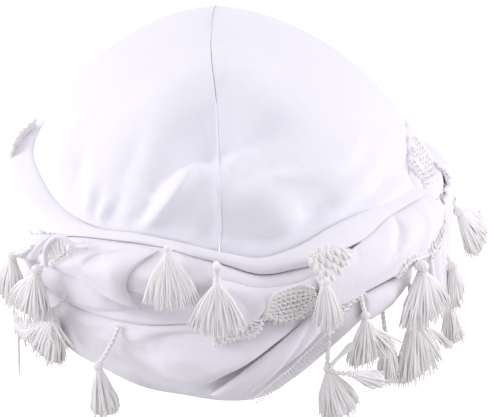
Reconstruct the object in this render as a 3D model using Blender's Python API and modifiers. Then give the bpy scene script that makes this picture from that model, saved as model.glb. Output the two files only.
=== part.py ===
"""A white durag with a scarf wound round its rim, worn shape, front towards -Y, +Z up.

The origin is the middle of the head opening, level with the lowest point of the rim at the brow.
Sizes in the constants and tables are millimetres and degrees. An azimuth is counted from the
brow, towards +X. A lift is how far a point stands out from the cap's outer surface.
"""

import math
from collections import namedtuple

import bmesh
import bpy
import numpy as np
from mathutils import Vector

MM = 0.001

# The head form that the cap is stretched over: a band below, a dome with a ridged top above
RIM_HALF_WIDTH = 76.0
RIM_HALF_LENGTH = 94.0
HALF_WIDTH = 81.0
HALF_LENGTH = 98.5
WIDEST_HEIGHT = 66.5
DOME_HEIGHT = 55.5
SIDE_ROUNDNESS = 1.6
FRONT_ROUNDNESS = 2.12
APEX_LEAN = -6.0

# The cap's panels
JERSEY = 2.0
SEAM_GAP = 0.6
SEAM_RISE = 1.1
SEAM_REACH = 3.0
CAP_TUCK = 3.0
PANEL_COLUMNS = 20
BAND_ROWS = 4
DOME_ROWS = 9
COLUMN_CROWDING = 0.55
FOLD_FADE = 7.0
FOLD_STEPS = 13
ON_SEAM = 0.5

# The wound scarf
RING_STATIONS = 60
RING_CLEARANCE = 0.8
RING_MINOR_RADIUS = 0.25
WRAP_GAP = 0.5
ROLL_SIDE_ROUNDNESS = 0.6
ROLL_EDGE_ROUNDNESS = 0.75
BROW_SINK = 0.28
SINK_FROM = -30.0
SINK_TO = 12.0
SINK_FADE = 12.0
SWATH_THICKNESS = 2.2
LAYER_GAP = 0.7

# Yarn and net
TASSEL_SIDES = 12
CORD_SEAT = 1.15
ROOT_SEAT = 0.35
ROOT_BACK = 0.45
NET_STRAND = 1.1

CLOTH_WHITE = (0.86, 0.86, 0.89)
YARN_WHITE = (0.84, 0.82, 0.77)

# Heights of the winding's edges round the head
Band = namedtuple("Band", "azimuth rim crease roll_bottom roll_top")
BANDS = (
    Band(-165, 10, 30, 46, 54),
    Band(-140, 17, 34, 50, 59),
    Band(-115, 27, 39, 56, 66),
    Band(-90, 31, 41, 61, 71),
    Band(-70, 24, 39, 62, 73),
    Band(-55, 11.5, 36, 60, 70.5),
    Band(-40, 5.5, 35, 64.5, 69.5),
    Band(-25, 2.5, 36.5, 68.5, 73),
    Band(-12, 2.5, 39, 68, 72.5),
    Band(0, 1, 41.5, 64.5, 69.5),
    Band(10, 1.5, 42, 60, 66.5),
    Band(20, 8, 44, 61, 69),
    Band(32, 19, 48, 66.5, 73.5),
    Band(45, 28, 49, 67, 74),
    Band(60, 34, 49, 64.5, 71.5),
    Band(75, 37, 47, 60, 67.5),
    Band(90, 36, 44.5, 54.5, 62),
    Band(120, 25, 37, 48, 56),
    Band(150, 13, 31, 45, 53),
)

# How far the winding stands out, from its rim (0) to its upper edge (1)
Profile = namedtuple("Profile", "share lift")
PROFILE = (
    Profile(0.0, 4.0),
    Profile(0.07, 7.5),
    Profile(0.16, 10.5),
    Profile(0.3, 13.2),
    Profile(0.45, 14.0),
    Profile(0.6, 13.6),
    Profile(0.75, 13.0),
    Profile(0.87, 11.6),
    Profile(0.95, 8.6),
    Profile(1.0, 4.5),
)

# Folds: a line through three places, its half width, and how far it rises or sinks
Fold = namedtuple("Fold", "azimuth_1 height_1 azimuth_2 height_2 azimuth_3 height_3 width rise")
CAP_FOLDS = (
    Fold(-1, 102, -13, 97, -24, 86, 7, -2.2),
    Fold(-7, 97, -18, 85, -26, 72, 5, 1.9),
    Fold(-3, 84, -8, 77, -13, 71, 4, -1.5),
    Fold(-30, 86, -33, 78, -35, 70, 4.5, -1.3),
    Fold(-40, 84, -41, 77, -41, 69, 4, 1.1),
    Fold(-52, 86, -49, 79, -46, 71, 4.5, -1.5),
    Fold(-66, 92, -60, 82, -56, 73, 5, 1.2),
    Fold(24, 107, 13, 103, 2, 99, 5, 1.3),
    Fold(6, 91, 16, 96, 30, 98, 7, -1.6),
    Fold(24, 94, 31, 92, 40, 89, 4.5, 1.6),
    Fold(2, 71, 12, 80, 26, 85, 5, 1.5),
    Fold(10, 70, 22, 76, 32, 81, 5, -1.5),
    Fold(60, 79, 47, 76, 34, 71, 5, -1.7),
    Fold(74, 91, 58, 88, 44, 83, 5.5, 1.3),
)
WRAP_FOLDS = (
    Fold(-36, 30, -24, 24, -4, 31, 4, -2.0),
    Fold(-34, 22, -20, 12, -6, 6, 5, -1.8),
    Fold(-46, 30, -36, 25, -30, 18, 4, -1.5),
    Fold(-30, 61, -14, 56, -2, 55, 4, -2.0),
    Fold(-26, 50, -12, 49, -4, 48, 3.5, -1.6),
    Fold(34, 36, 44, 40, 54, 44, 4, -1.6),
    Fold(-70, 34, -90, 36, -120, 31, 5, -1.6),
    Fold(-60, 55, -85, 52, -120, 46, 5, -1.6),
    Fold(130, 28, 160, 20, 190, 20, 6, -1.8),
    Fold(140, 40, 165, 39, 195, 37, 5, -1.5),
)

# Cloth laid over the winding: each row is a line across it, from its upper to its lower edge.
# The lifts are added to the winding's own, and bow bends the line sideways.
Across = namedtuple(
    "Across", "top_azimuth top_height top_lift bottom_azimuth bottom_height bottom_lift bow camber"
)
LEFT_SWATH = (
    Across(-65, 57.5, 0.0, -63, 47.0, 0.0, 0, 0.6),
    Across(-57, 58.0, 0.0, -56, 49.0, 0.0, 0, 1.5),
    Across(-49, 60.5, 0.2, -48, 51.5, 0.2, 0, 2.2),
    Across(-38, 63.0, 0.4, -38, 55.0, 0.4, 0, 2.2),
    Across(-30, 65.5, 0.4, -31, 52.0, 0.4, -1, 2.2),
    Across(-23, 66.6, 0.2, -25.5, 48.6, 0.2, -3, 1.8),
    Across(-17.5, 66.8, 0.0, -20.5, 47.2, 0.0, -5, 0.8),
)
RIGHT_SWATH = (
    Across(21.5, 59.8, 3.6, 20.5, 49.0, 3.6, 1.5, 0.4),
    Across(28, 63.5, 3.4, 28, 47.2, 3.4, 0, 1.0),
    Across(35, 67.0, 2.4, 35, 49.6, 2.6, 0, 2.0),
    Across(43, 69.5, 1.4, 43, 50.6, 1.8, 0, 3.0),
    Across(51, 71.8, 1.2, 51, 51.0, 1.6, 0, 3.2),
    Across(59, 73.4, 0.8, 58, 52.0, 1.6, 0, 3.2),
    Across(68, 73.8, -0.6, 65, 57.0, 1.4, 0, 3.0),
    Across(79, 71.4, -1.6, 75, 60.0, 1.0, 0, 2.4),
    Across(90, 65.6, -1.6, 86, 56.5, 0.4, 0, 1.2),
)
CENTRE_FLAP = (
    Across(-3.5, 62.8, 0.0, -3.0, 33.0, 0.0, 0, 0.6),
    Across(2, 61.4, 0.0, 1.5, 37.5, 0.0, 0, 1.2),
    Across(7, 58.9, 0.0, 6.5, 43.0, 0.0, 0, 1.2),
    Across(12, 58.2, 0.0, 12, 52.5, 0.0, 0, 0.8),
    Across(18, 58.8, 0.0, 18, 54.5, 0.0, 0, 0.4),
    Across(25, 61.2, 0.0, 25, 53.0, 0.0, 0, 0.0),
)
RIGHT_FOLD = (
    Across(37.0, 48.2, 1.0, 36.8, 35.4, 1.4, 0, 0.4),
    Across(39.5, 48.7, 1.0, 38.8, 32.8, 1.6, 0, 1.6),
    Across(43.5, 49.0, 1.0, 42.5, 33.6, 1.6, 0, 2.0),
    Across(47.5, 49.2, 1.0, 46.6, 36.2, 1.4, 0, 1.4),
    Across(51.5, 49.4, 1.0, 51.0, 41.5, 1.0, 0, 0.4),
)
LOWER_SWATH = (
    Across(-5, 7.5, 0.0, 3, 3.0, 0.0, 0, 0.4),
    Across(2, 19.0, 0.0, 10, 9.5, 0.0, 0, 1.4),
    Across(8, 28.0, 0.0, 16, 18.0, 0.0, 0, 1.6),
    Across(15, 36.0, 0.0, 21.5, 26.5, 0.0, 0, 1.6),
    Across(21.5, 44.6, 0.0, 27, 34.5, 0.0, 0, 0.8),
)
BACK_LAYER = (
    Across(93.5, 65.0, -1.6, 84, 51.0, 0.4, 0, 0.8),
    Across(100, 64.0, -1.6, 93, 43.0, 2.4, 0, 3.2),
    Across(110, 60.5, -1.6, 106, 35.0, 2.4, 0, 3.2),
    Across(122, 57.5, -1.6, 121, 31.0, 1.6, 0, 2.4),
    Across(136, 54.5, -0.6, 138, 30.0, 0.4, 0, 1.0),
)

# Net: the corners of each patch, its lift and its cells
Net = namedtuple(
    "Net",
    "top_left top_left_height top_right top_right_height bottom_right bottom_right_height "
    "bottom_left bottom_left_height lift columns rows",
)
NETS = {
    "net_left": Net(-49.5, 64.0, -37, 70.5, -33, 68.0, -44, 57.0, 19.8, 5, 2),
    "net_right": Net(18.5, 74.0, 29.5, 72.5, 24.0, 65.5, 21.5, 65.5, 19.0, 3, 3),
    "net_centre": Net(12, 50.0, 20.5, 52.6, 20.0, 47.6, 9.5, 43.6, 15.8, 4, 2),
}

# Tassels: the cloth that the cord leaves and where, the knot, the end of the skirt, and their sizes
Tassel = namedtuple(
    "Tassel",
    "carrier cord_azimuth cord_height cord_lift azimuth height lift "
    "tip_azimuth tip_height tip_lift knot_size width depth",
)
TASSELS = (
    Tassel("left_swath", -51.5, 58.5, 19, -56.5, 51.5, 22.6, -60, 28, 22, 1.0, 19, 8),
    Tassel("net_left", -45.8, 56, 21, -46.6, 51.8, 23, -49.3, 31, 26, 1.0, 17, 8),
    Tassel("middle_wrap", -43, 42, 16, -45.4, 33, 17, -52, 5.5, 17, 1.0, 17, 8),
    Tassel("lower_wrap", -25, 34.5, 16, -31.1, 18.1, 19.6, -31.3, -5.9, 16.5, 1.0, 12, 8),
    Tassel("brow_roll", -14, 73.5, 7, -13.5, 73.5, 14.5, -11.8, 51, 18.5, 0.8, 22, 5),
    Tassel("brow_roll", -2, 69, 12, -1.4, 70, 19, -1.4, 41, 21.5, 1.0, 24, 5.6),
    Tassel("net_right", 22.5, 65.5, 22, 22.3, 62, 23.3, 23.8, 42, 23.9, 1.0, 13, 7),
    Tassel("lower_swath", 26, 33, 18, 24.9, 20, 19, 30.4, -5, 17.5, 1.0, 16, 8),
    Tassel("right_swath", 33.5, 49.8, 20, 32.8, 42, 22.8, 35.6, 17.8, 19.5, 0.9, 15, 7),
    Tassel("lower_wrap", 47, 31.5, 10, 45.8, 19, 13.6, 48, -3, 15, 0.9, 10, 7),
    Tassel("right_fold", 50, 43, 19, 50.5, 29.7, 20.5, 56.2, -4, 20.5, 1.0, 15, 8),
    Tassel("right_swath", 52, 53.5, 20, 50.2, 52.5, 24.6, 51.8, 28, 28.4, 1.0, 22, 7),
    Tassel("lower_wrap", 72, 46, 15, 71.5, 32.5, 21, 78.5, 9.5, 22, 1.0, 14, 8),
    Tassel("lower_wrap", 84, 41, 13, 83, 4.5, 20.5, 84.5, -16, 24, 1.0, 14, 8),
    Tassel("back_layer", 87, 52, 19, 88.2, 42.5, 22.5, 91, 25.5, 31.5, 1.0, 17, 8),
    Tassel("tassel_08", 27.2, 19.2, 20.8, 29.2, 18, 24.5, 37, 10.8, 28, 0.75, 6, 5),
)


def follow(places, values, at):
    """Height of a smooth curve through the given places and values, level beyond its ends."""
    places = np.asarray(places, float)
    values = np.asarray(values, float)
    at = np.clip(at, places[0], places[-1])
    slopes = np.gradient(values, places)
    index = np.clip(np.searchsorted(places, at) - 1, 0, len(places) - 2)
    width = places[index + 1] - places[index]
    t = (at - places[index]) / width
    return (
        values[index] * (1 + 2 * t) * (1 - t) ** 2
        + slopes[index] * width * t * (1 - t) ** 2
        + values[index + 1] * t * t * (3 - 2 * t)
        + slopes[index + 1] * width * t * t * (t - 1)
    )


def edge_height(column, azimuth):
    """One of the winding's edge heights at an azimuth, all the way round."""
    turns = [(row.azimuth + turn, getattr(row, column)) for turn in (-360, 0, 360) for row in BANDS]
    return float(follow([a for a, _ in turns], [h for _, h in turns], azimuth))


def envelope(azimuth, height):
    """Lift of the winding's outer surface."""
    rim, top = edge_height("rim", azimuth), edge_height("roll_top", azimuth)
    share = (height - rim) / (top - rim)
    return float(follow([p.share for p in PROFILE], [p.lift for p in PROFILE], share))


def half_axes(height):
    """Half width and half length of the head form, and how far its middle leans aside."""
    if height <= WIDEST_HEIGHT:
        swell = math.sin(0.5 * math.pi * max(height, 0.0) / WIDEST_HEIGHT)
        width = RIM_HALF_WIDTH + (HALF_WIDTH - RIM_HALF_WIDTH) * swell
        return width, RIM_HALF_LENGTH + (HALF_LENGTH - RIM_HALF_LENGTH) * swell, 0.0
    up = min((height - WIDEST_HEIGHT) / DOME_HEIGHT, 1.0)
    width = HALF_WIDTH * (1 - up**SIDE_ROUNDNESS) ** (1 / SIDE_ROUNDNESS)
    length = HALF_LENGTH * (1 - up**FRONT_ROUNDNESS) ** (1 / FRONT_ROUNDNESS)
    return width, length, APEX_LEAN * up


def place(azimuth, height, lift):
    """The point, in metres, at an azimuth, a height and a lift."""
    width, length, lean = half_axes(height)
    turn = math.radians(azimuth)
    x = lean + (width + lift) * math.sin(turn)
    y = -(length + lift) * math.cos(turn)
    return Vector((x, y, height)) * MM


def fold_line(fold):
    """Points, in millimetres, along a fold's line on the head form."""
    steps = np.linspace(0, 1, FOLD_STEPS)
    azimuths = follow((0, 0.5, 1), (fold.azimuth_1, fold.azimuth_2, fold.azimuth_3), steps)
    heights = follow((0, 0.5, 1), (fold.height_1, fold.height_2, fold.height_3), steps)
    return np.array([place(a, h, 0) for a, h in zip(azimuths, heights)]) / MM


def relief(lines, azimuth, height):
    """How far the folds raise or sink the cloth at a place on the head form."""
    here = np.array(place(azimuth, height, 0)) / MM
    total = 0.0
    for fold, line in lines:
        distance = np.linalg.norm(line - here, axis=1).min()
        total += fold.rise * math.exp(-((distance / fold.width) ** 2))
    return total


CAP_LINES = [(fold, fold_line(fold)) for fold in CAP_FOLDS]
WRAP_LINES = [(fold, fold_line(fold)) for fold in WRAP_FOLDS]


def ease(value):
    value = min(max(value, 0.0), 1.0)
    return value * value * (3 - 2 * value)


def finish_part(part, name, colour, roughness):
    """Names the object, files it with the durag and gives it a material of its own."""
    part.name = name
    part.data.name = name
    for other in part.users_collection:
        other.objects.unlink(part)
    DURAG.objects.link(part)
    material = bpy.data.materials.new(name)
    material.use_nodes = True
    shader = material.node_tree.nodes["Principled BSDF"]
    shader.inputs["Base Color"].default_value = (*colour, 1.0)
    shader.inputs["Roughness"].default_value = roughness
    shader.inputs["Metallic"].default_value = 0.0
    material.diffuse_color = (*colour, 1.0)
    part.data.materials.clear()
    part.data.materials.append(material)
    part.data.shade_smooth()
    return part


def thicken(part, thickness, outward):
    solidify = part.modifiers.new("Cloth thickness", "SOLIDIFY")
    solidify.thickness = thickness * MM
    solidify.offset = 1.0 if outward else -1.0
    solidify.use_rim = True


def crown_panel(name, side):
    """Half of the cap, from the seam round to the seam at the back; side is 1 or -1."""
    rows = BAND_ROWS + DOME_ROWS
    bpy.ops.mesh.primitive_grid_add(x_subdivisions=PANEL_COLUMNS, y_subdivisions=rows, size=2)
    panel = bpy.context.object
    for vertex in panel.data.vertices:
        along = (side * vertex.co.x + 1) / 2
        row = (vertex.co.y + 1) / 2 * rows
        crowded = along - COLUMN_CROWDING * math.sin(2 * math.pi * along) / (2 * math.pi)
        azimuth = side * 180 * crowded
        tuck = edge_height("rim", azimuth) + CAP_TUCK
        if row <= BAND_ROWS:
            height = tuck + (WIDEST_HEIGHT - tuck) * row / BAND_ROWS
        else:
            up = math.sin(0.5 * math.pi * (row - BAND_ROWS) / DOME_ROWS)
            height = WIDEST_HEIGHT + DOME_HEIGHT * up
        width, length, lean = half_axes(height)
        away = width * abs(math.sin(math.radians(azimuth)))
        shown = ease((height - edge_height("roll_top", azimuth)) / FOLD_FADE)
        rise = SEAM_RISE * math.exp(-((away / SEAM_REACH) ** 2))
        lift = shown * (rise + relief(CAP_LINES, azimuth, height))
        point = Vector((side * (SEAM_GAP / 2 + away), -length * math.cos(math.radians(azimuth)), height))
        outward = Vector((point.x / HALF_WIDTH**2, point.y / HALF_LENGTH**2, 0.0))
        outward.z = max(height - WIDEST_HEIGHT, 0.0) / DOME_HEIGHT**2
        outward.normalize()
        outward.x *= 0.0 if away < ON_SEAM else 1.0
        vertex.co = (point + outward * lift + Vector((lean, 0, 0))) * MM
    shape = bmesh.new()
    shape.from_mesh(panel.data)
    bmesh.ops.remove_doubles(shape, verts=shape.verts, dist=0.01 * MM)
    shape.to_mesh(panel.data)
    shape.free()
    thicken(panel, JERSEY, outward=False)
    bpy.ops.object.modifier_apply(modifier="Cloth thickness")
    for vertex in panel.data.vertices:
        lean = half_axes(vertex.co.z / MM)[2]
        edge = (lean + side * SEAM_GAP / 2) * MM
        vertex.co.x = max(vertex.co.x, edge) if side > 0 else min(vertex.co.x, edge)
    return finish_part(panel, name, CLOTH_WHITE, 0.85)


def wound_ring(name, low_edge, high_edge, fullness, sides):
    """One turn of the scarf: a closed roll between two of the winding's edges."""
    bpy.ops.mesh.primitive_torus_add(
        major_segments=RING_STATIONS,
        minor_segments=sides,
        major_radius=1.0,
        minor_radius=RING_MINOR_RADIUS,
    )
    ring = bpy.context.object
    for vertex in ring.data.vertices:
        azimuth = math.degrees(math.atan2(vertex.co.x, -vertex.co.y))
        across = math.atan2(vertex.co.z, math.hypot(vertex.co.x, vertex.co.y) - 1.0)
        low = edge_height(low_edge, azimuth) + WRAP_GAP / 2
        high = edge_height(high_edge, azimuth) - WRAP_GAP / 2
        outwards = math.copysign(abs(math.cos(across)) ** ROLL_SIDE_ROUNDNESS, math.cos(across))
        upwards = math.copysign(abs(math.sin(across)) ** ROLL_EDGE_ROUNDNESS, math.sin(across))
        height = (low + high) / 2 + (high - low) / 2 * upwards
        outer = fullness(azimuth) * envelope(azimuth, height)
        if outwards > 0:
            outer += min(relief(WRAP_LINES, azimuth, height), 0.0) * outwards
        lift = RING_CLEARANCE + (outer - RING_CLEARANCE) * (1 + outwards) / 2
        vertex.co = place(azimuth, height, lift)
    return finish_part(ring, name, CLOTH_WHITE, 0.85)


def sunk_at_brow(azimuth):
    """The middle turn lies deeper between the two swaths."""
    inside = ease((azimuth - SINK_FROM) / SINK_FADE) * ease((SINK_TO - azimuth) / SINK_FADE)
    return 1.0 - BROW_SINK * inside


def full(azimuth):
    return 1.0


def swath(name, rows, columns, across_cells):
    """A flat fold of cloth over the winding, through the lines that cross it."""
    bpy.ops.mesh.primitive_grid_add(x_subdivisions=columns, y_subdivisions=across_cells, size=2)
    cloth = bpy.context.object
    steps = range(len(rows))
    for vertex in cloth.data.vertices:
        along = (vertex.co.x + 1) / 2 * (len(rows) - 1)
        down = (1 - vertex.co.y) / 2
        here = Across(*(float(follow(steps, column, along)) for column in zip(*rows)))
        azimuth = here.top_azimuth + (here.bottom_azimuth - here.top_azimuth) * down
        azimuth += here.bow * 4 * down * (1 - down)
        height = here.top_height + (here.bottom_height - here.top_height) * down
        lift = envelope(azimuth, height) + LAYER_GAP
        lift += here.top_lift + (here.bottom_lift - here.top_lift) * down
        lift += here.camber * math.sin(math.pi * down)
        vertex.co = place(azimuth, height, lift)
    thicken(cloth, SWATH_THICKNESS, outward=True)
    return finish_part(cloth, name, CLOTH_WHITE, 0.85)


def net(name, row):
    """A patch of knotted fringe: diamonds of strand between its four corners."""
    shape = bmesh.new()
    bmesh.ops.create_grid(shape, x_segments=row.columns, y_segments=row.rows, size=1)
    lines = list(shape.edges)
    bmesh.ops.poke(shape, faces=list(shape.faces))
    inner = [edge for edge in lines if edge.is_valid and len(edge.link_faces) == 2]
    bmesh.ops.dissolve_edges(shape, edges=inner, use_verts=False)
    for vertex in shape.verts:
        along, down = (vertex.co.x + 1) / 2, (1 - vertex.co.y) / 2
        top = row.top_left + (row.top_right - row.top_left) * along
        top_height = row.top_left_height + (row.top_right_height - row.top_left_height) * along
        bottom = row.bottom_left + (row.bottom_right - row.bottom_left) * along
        bottom_height = row.bottom_left_height + (row.bottom_right_height - row.bottom_left_height) * along
        azimuth = top + (bottom - top) * down
        height = top_height + (bottom_height - top_height) * down
        vertex.co = place(azimuth, height, row.lift)
    mesh = bpy.data.meshes.new(name)
    shape.to_mesh(mesh)
    shape.free()
    patch = bpy.data.objects.new(name, mesh)
    wires = patch.modifiers.new("Strands", "WIREFRAME")
    wires.thickness = NET_STRAND * MM
    wires.use_even_offset = False
    wires.use_boundary = True
    wires.use_replace = True
    return finish_part(patch, name, YARN_WHITE, 0.9)


# A tassel from its cord down: which stretch the ring is in, how far along it, and its size there
Ring = namedtuple("Ring", "stretch share size groove")
TASSEL_RINGS = (
    Ring("cord", 0.0, 0.3, 0.0),
    Ring("cord", 0.12, 1.1, 0.0),
    Ring("cord", 1.0, 1.3, 0.0),
    Ring("knot", 0.1, 2.9, 0.0),
    Ring("knot", 0.55, 3.3, 0.0),
    Ring("knot", 1.0, 2.3, 0.0),
    Ring("skirt", 0.3, 0.62, 0.12),
    Ring("skirt", 0.68, 0.9, 0.22),
    Ring("skirt", 1.0, 1.0, 0.34),
)
KNOT_LENGTH = 5.5
LOCK_STEP = 3.0
SKIRT_FLATNESS = 0.75
ODD_LOCK_STEP = 0.9
THIRD_LOCK_STEP = 0.3


def on_cloth(carrier, point):
    """The place nearest to a point on the piece that carries a cord, and the way out of it."""
    seen = bpy.data.objects[carrier].evaluated_get(bpy.context.evaluated_depsgraph_get())
    _, nearest, normal, _ = seen.closest_point_on_mesh(point)
    return nearest, normal


def tassel(name, row):
    """A cord, a knot and a skirt of six locks, drawn out of one sphere."""
    leaves, normal = on_cloth(row.carrier, place(row.cord_azimuth, row.cord_height, row.cord_lift))
    top = leaves + normal * CORD_SEAT * MM
    knot = place(row.azimuth, row.height, row.lift)
    cord_way = (knot - top).normalized()
    root_way = normal * ROOT_SEAT - (cord_way - normal * cord_way.dot(normal)) * ROOT_BACK
    root = leaves + root_way * MM
    tip = place(row.tip_azimuth, row.tip_height, row.tip_lift)
    fall = (tip - knot).normalized()
    knot_end = knot + fall * KNOT_LENGTH * row.knot_size * MM
    stretches = {"cord": (top, knot), "knot": (knot, knot_end), "skirt": (knot_end, tip)}
    outward = Vector((knot.x, knot.y, 0)).normalized()
    outward = (outward - fall * outward.dot(fall)).normalized()
    sideways = fall.cross(outward)
    along_cord = fall.rotation_difference(cord_way)
    shape = bmesh.new()
    bmesh.ops.create_uvsphere(
        shape, u_segments=TASSEL_SIDES, v_segments=len(TASSEL_RINGS) + 1, radius=1
    )
    for vertex in shape.verts:
        ring_number = round(math.acos(max(-1.0, min(1.0, vertex.co.z))) / math.pi * (len(TASSEL_RINGS) + 1))
        turn = math.atan2(vertex.co.y, vertex.co.x)
        if ring_number == 0:
            vertex.co = root
            continue
        if ring_number == len(TASSEL_RINGS) + 1:
            vertex.co = tip - fall * LOCK_STEP * MM
            continue
        ring = TASSEL_RINGS[ring_number - 1]
        start, end = stretches[ring.stretch]
        middle = start.lerp(end, ring.share)
        side_number = round(turn / (2 * math.pi) * TASSEL_SIDES)
        groove = 1 - ring.groove * (side_number % 2)
        if ring.stretch == "skirt":
            half_width = row.width / 2 * ring.size
            half_depth = row.depth / 2 * (SKIRT_FLATNESS + (1 - SKIRT_FLATNESS) * ring.size)
            if ring.share == 1.0:
                step = ODD_LOCK_STEP * (side_number % 2) + THIRD_LOCK_STEP * (side_number % 3)
                middle = middle - fall * LOCK_STEP * step * MM
        else:
            half_width = half_depth = ring.size * row.knot_size
        across = sideways * half_width * groove * math.cos(turn) * MM
        across += outward * half_depth * groove * math.sin(turn) * MM
        if ring.stretch == "cord" and ring.share < 1.0:
            across = along_cord @ across
        vertex.co = middle + across
    mesh = bpy.data.meshes.new(name)
    shape.to_mesh(mesh)
    shape.free()
    return finish_part(bpy.data.objects.new(name, mesh), name, YARN_WHITE, 0.9)


for old in list(bpy.data.objects):
    bpy.data.objects.remove(old)
DURAG = bpy.data.collections.new("durag")
bpy.context.scene.collection.children.link(DURAG)

crown_panel("crown_panel_right", 1)
crown_panel("crown_panel_left", -1)
wound_ring("lower_wrap", "rim", "crease", full, 10)
wound_ring("middle_wrap", "crease", "roll_bottom", sunk_at_brow, 8)
wound_ring("brow_roll", "roll_bottom", "roll_top", full, 8)
swath("left_swath", LEFT_SWATH, 12, 4)
swath("right_swath", RIGHT_SWATH, 16, 5)
swath("centre_flap", CENTRE_FLAP, 9, 4)
swath("right_fold", RIGHT_FOLD, 6, 4)
swath("lower_swath", LOWER_SWATH, 10, 3)
swath("back_layer", BACK_LAYER, 10, 5)
for net_name, net_row in NETS.items():
    net(net_name, net_row)
for number, tassel_row in enumerate(TASSELS, start=1):
    tassel(f"tassel_{number:02d}", tassel_row)
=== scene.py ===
"""Looks for a white durag: a seamed cotton cap and a wound scarf with knotted net and yarn tassels.

Sizes in the tables are millimetres and degrees. An azimuth is counted from the brow, towards +X; a
lift is how far a point stands out from the cap's outer surface.
"""

import math
from collections import namedtuple

import bpy
import numpy as np
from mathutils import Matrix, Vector


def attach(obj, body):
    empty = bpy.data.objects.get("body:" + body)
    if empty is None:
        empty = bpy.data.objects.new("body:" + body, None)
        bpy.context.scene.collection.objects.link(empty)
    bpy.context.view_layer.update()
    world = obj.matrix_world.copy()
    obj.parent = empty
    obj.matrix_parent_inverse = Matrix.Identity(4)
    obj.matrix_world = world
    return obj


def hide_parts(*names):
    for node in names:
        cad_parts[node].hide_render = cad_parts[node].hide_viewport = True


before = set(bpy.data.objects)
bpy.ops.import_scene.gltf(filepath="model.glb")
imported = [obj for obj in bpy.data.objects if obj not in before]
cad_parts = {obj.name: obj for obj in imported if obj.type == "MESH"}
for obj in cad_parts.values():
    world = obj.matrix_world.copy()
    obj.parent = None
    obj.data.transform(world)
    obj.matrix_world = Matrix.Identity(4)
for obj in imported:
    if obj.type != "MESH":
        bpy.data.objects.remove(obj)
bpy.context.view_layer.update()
bpy.ops.object.select_all(action="DESELECT")

# Camera: it stands straight ahead of the brow, 25 degrees above level and 1.1 m away, with a long
# lens, so the cap's dome and the underside of the winding show as they do in the photograph.
CAMERA_ELEVATION = math.radians(25)
CAMERA_DISTANCE = 1.1
CAMERA_TARGET = Vector((0.0078, 0.0, 0.0415))
camera = bpy.data.objects.new("camera", bpy.data.cameras.new("camera"))
bpy.context.scene.collection.objects.link(camera)
camera.data.lens = 188.3
camera.data.sensor_width = 36.0
camera.location = CAMERA_TARGET + CAMERA_DISTANCE * Vector(
    (0, -math.cos(CAMERA_ELEVATION), math.sin(CAMERA_ELEVATION))
)
camera.rotation_euler = (math.pi / 2 - CAMERA_ELEVATION, 0, 0)
bpy.context.scene.camera = camera


# Cap: two panels of white cotton jersey, cut alike and joined by one seam from brow to nape. They
# are drawn over the head form, and the pull of the winding leaves soft folds that run to its edge.
MM = 0.001
RIM_HALF_WIDTH, RIM_HALF_LENGTH = 76.0, 94.0
HALF_WIDTH, HALF_LENGTH = 81.0, 98.5
WIDEST_HEIGHT, DOME_HEIGHT = 66.5, 55.5
SIDE_ROUNDNESS, FRONT_ROUNDNESS = 1.6, 2.12
APEX_LEAN, LEAN_BEND = -6.0, 1.7
JERSEY_THICKNESS = 1.2
SEAM_RISE, SEAM_REACH, LOW_SIDE_RISE, SEAM_GAP = 0.9, 2.2, 0.3, 0.15
WELT_LOSS, WELT_FADE_FROM, WELT_FADE = 0.85, 108.0, 13.0
CAP_TUCK = 3.0
FOLD_FADE = 7.0
HEM_FILL, HEM_FILL_RIGHT, HEM_SPREAD, HEM_FROM, HEM_FADE = 1.5, 2.2, 5.5, 38.0, 14.0
PANEL_COLUMNS, BAND_ROWS, DOME_ROWS = 170, 34, 96
COLUMN_CROWDING = 0.55
DOME_ARC = 1.4

# How far aside the seam is drawn by the folds, up the front of the dome
Station = namedtuple("Station", "height aside")
SEAM_DRIFT = 14.0
SEAM_PATH = (
    Station(66, -1.9),
    Station(70, -1.7),
    Station(78.6, -0.7),
    Station(86.7, -0.5),
    Station(94, -0.3),
    Station(99, 0.2),
    Station(104, 0.9),
    Station(110.3, 1.3),
    Station(114.8, 1.2),
    Station(118.6, 0.3),
    Station(122, 0.0),
)

# A fold's line through three places, how far it rises, and how wide it is on either side of the line
Fold = namedtuple("Fold", "azimuth_1 height_1 azimuth_2 height_2 azimuth_3 height_3 rise left right")
CAP_FOLDS = (
    Fold(0, 105, -14, 101, -25, 87, -4.6, 5, 8),
    Fold(-9, 99, -15, 87, -25, 71, 4.4, 3.2, 6),
    Fold(-7, 103, -11, 99, -14, 94, 1.4, 5, 5),
    Fold(-6, 76, -9, 73, -12, 70, 2.0, 2.2, 3.6),
    Fold(-2, 72, -6, 71, -9, 70, -2.2, 3, 2.5),
    Fold(-45, 85, -43, 77, -42, 69, 1.9, 2.6, 3.4),
    Fold(-37, 81, -37.5, 75, -38.5, 68, 1.9, 2.6, 3.4),
    Fold(-41, 82, -40.5, 76, -40.5, 69, -1.0, 2.2, 2.2),
    Fold(-57, 91, -54, 84, -51, 77, -2.2, 3.5, 3.5),
    Fold(-37, 104, -35, 95, -36.5, 83, -1.6, 6, 6),
    Fold(-21.5, 88, -24, 81, -28, 72, -2.6, 3.6, 3.6),
    Fold(-33, 86, -34, 79, -35, 70, -1.2, 3.0, 3.0),
    Fold(-70, 96, -66, 88, -61, 78, 1.6, 5, 5),
    Fold(20, 105, 11, 103, 3, 99, 3.0, 3.2, 6),
    Fold(33, 95, 18, 97, 3, 93, -2.6, 5, 5),
    Fold(58, 92, 36, 90.5, 18, 94.5, 3.4, 4.2, 7),
    Fold(27, 80, 15, 76, 2, 69, 3.0, 3.0, 6),
    Fold(20, 74, 13, 71, 7, 68, -1.4, 3, 4),
    Fold(62, 78, 46, 76, 32, 71.5, -3.4, 3.2, 4),
    Fold(67, 85, 47, 83, 34, 80, 2.6, 4.5, 5),
    Fold(66, 73, 57, 69, 48, 66.5, 1.8, 3, 4),
    Fold(22, 119, 13, 117.5, 4, 116, 1.2, 2.6, 3),
)

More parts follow.
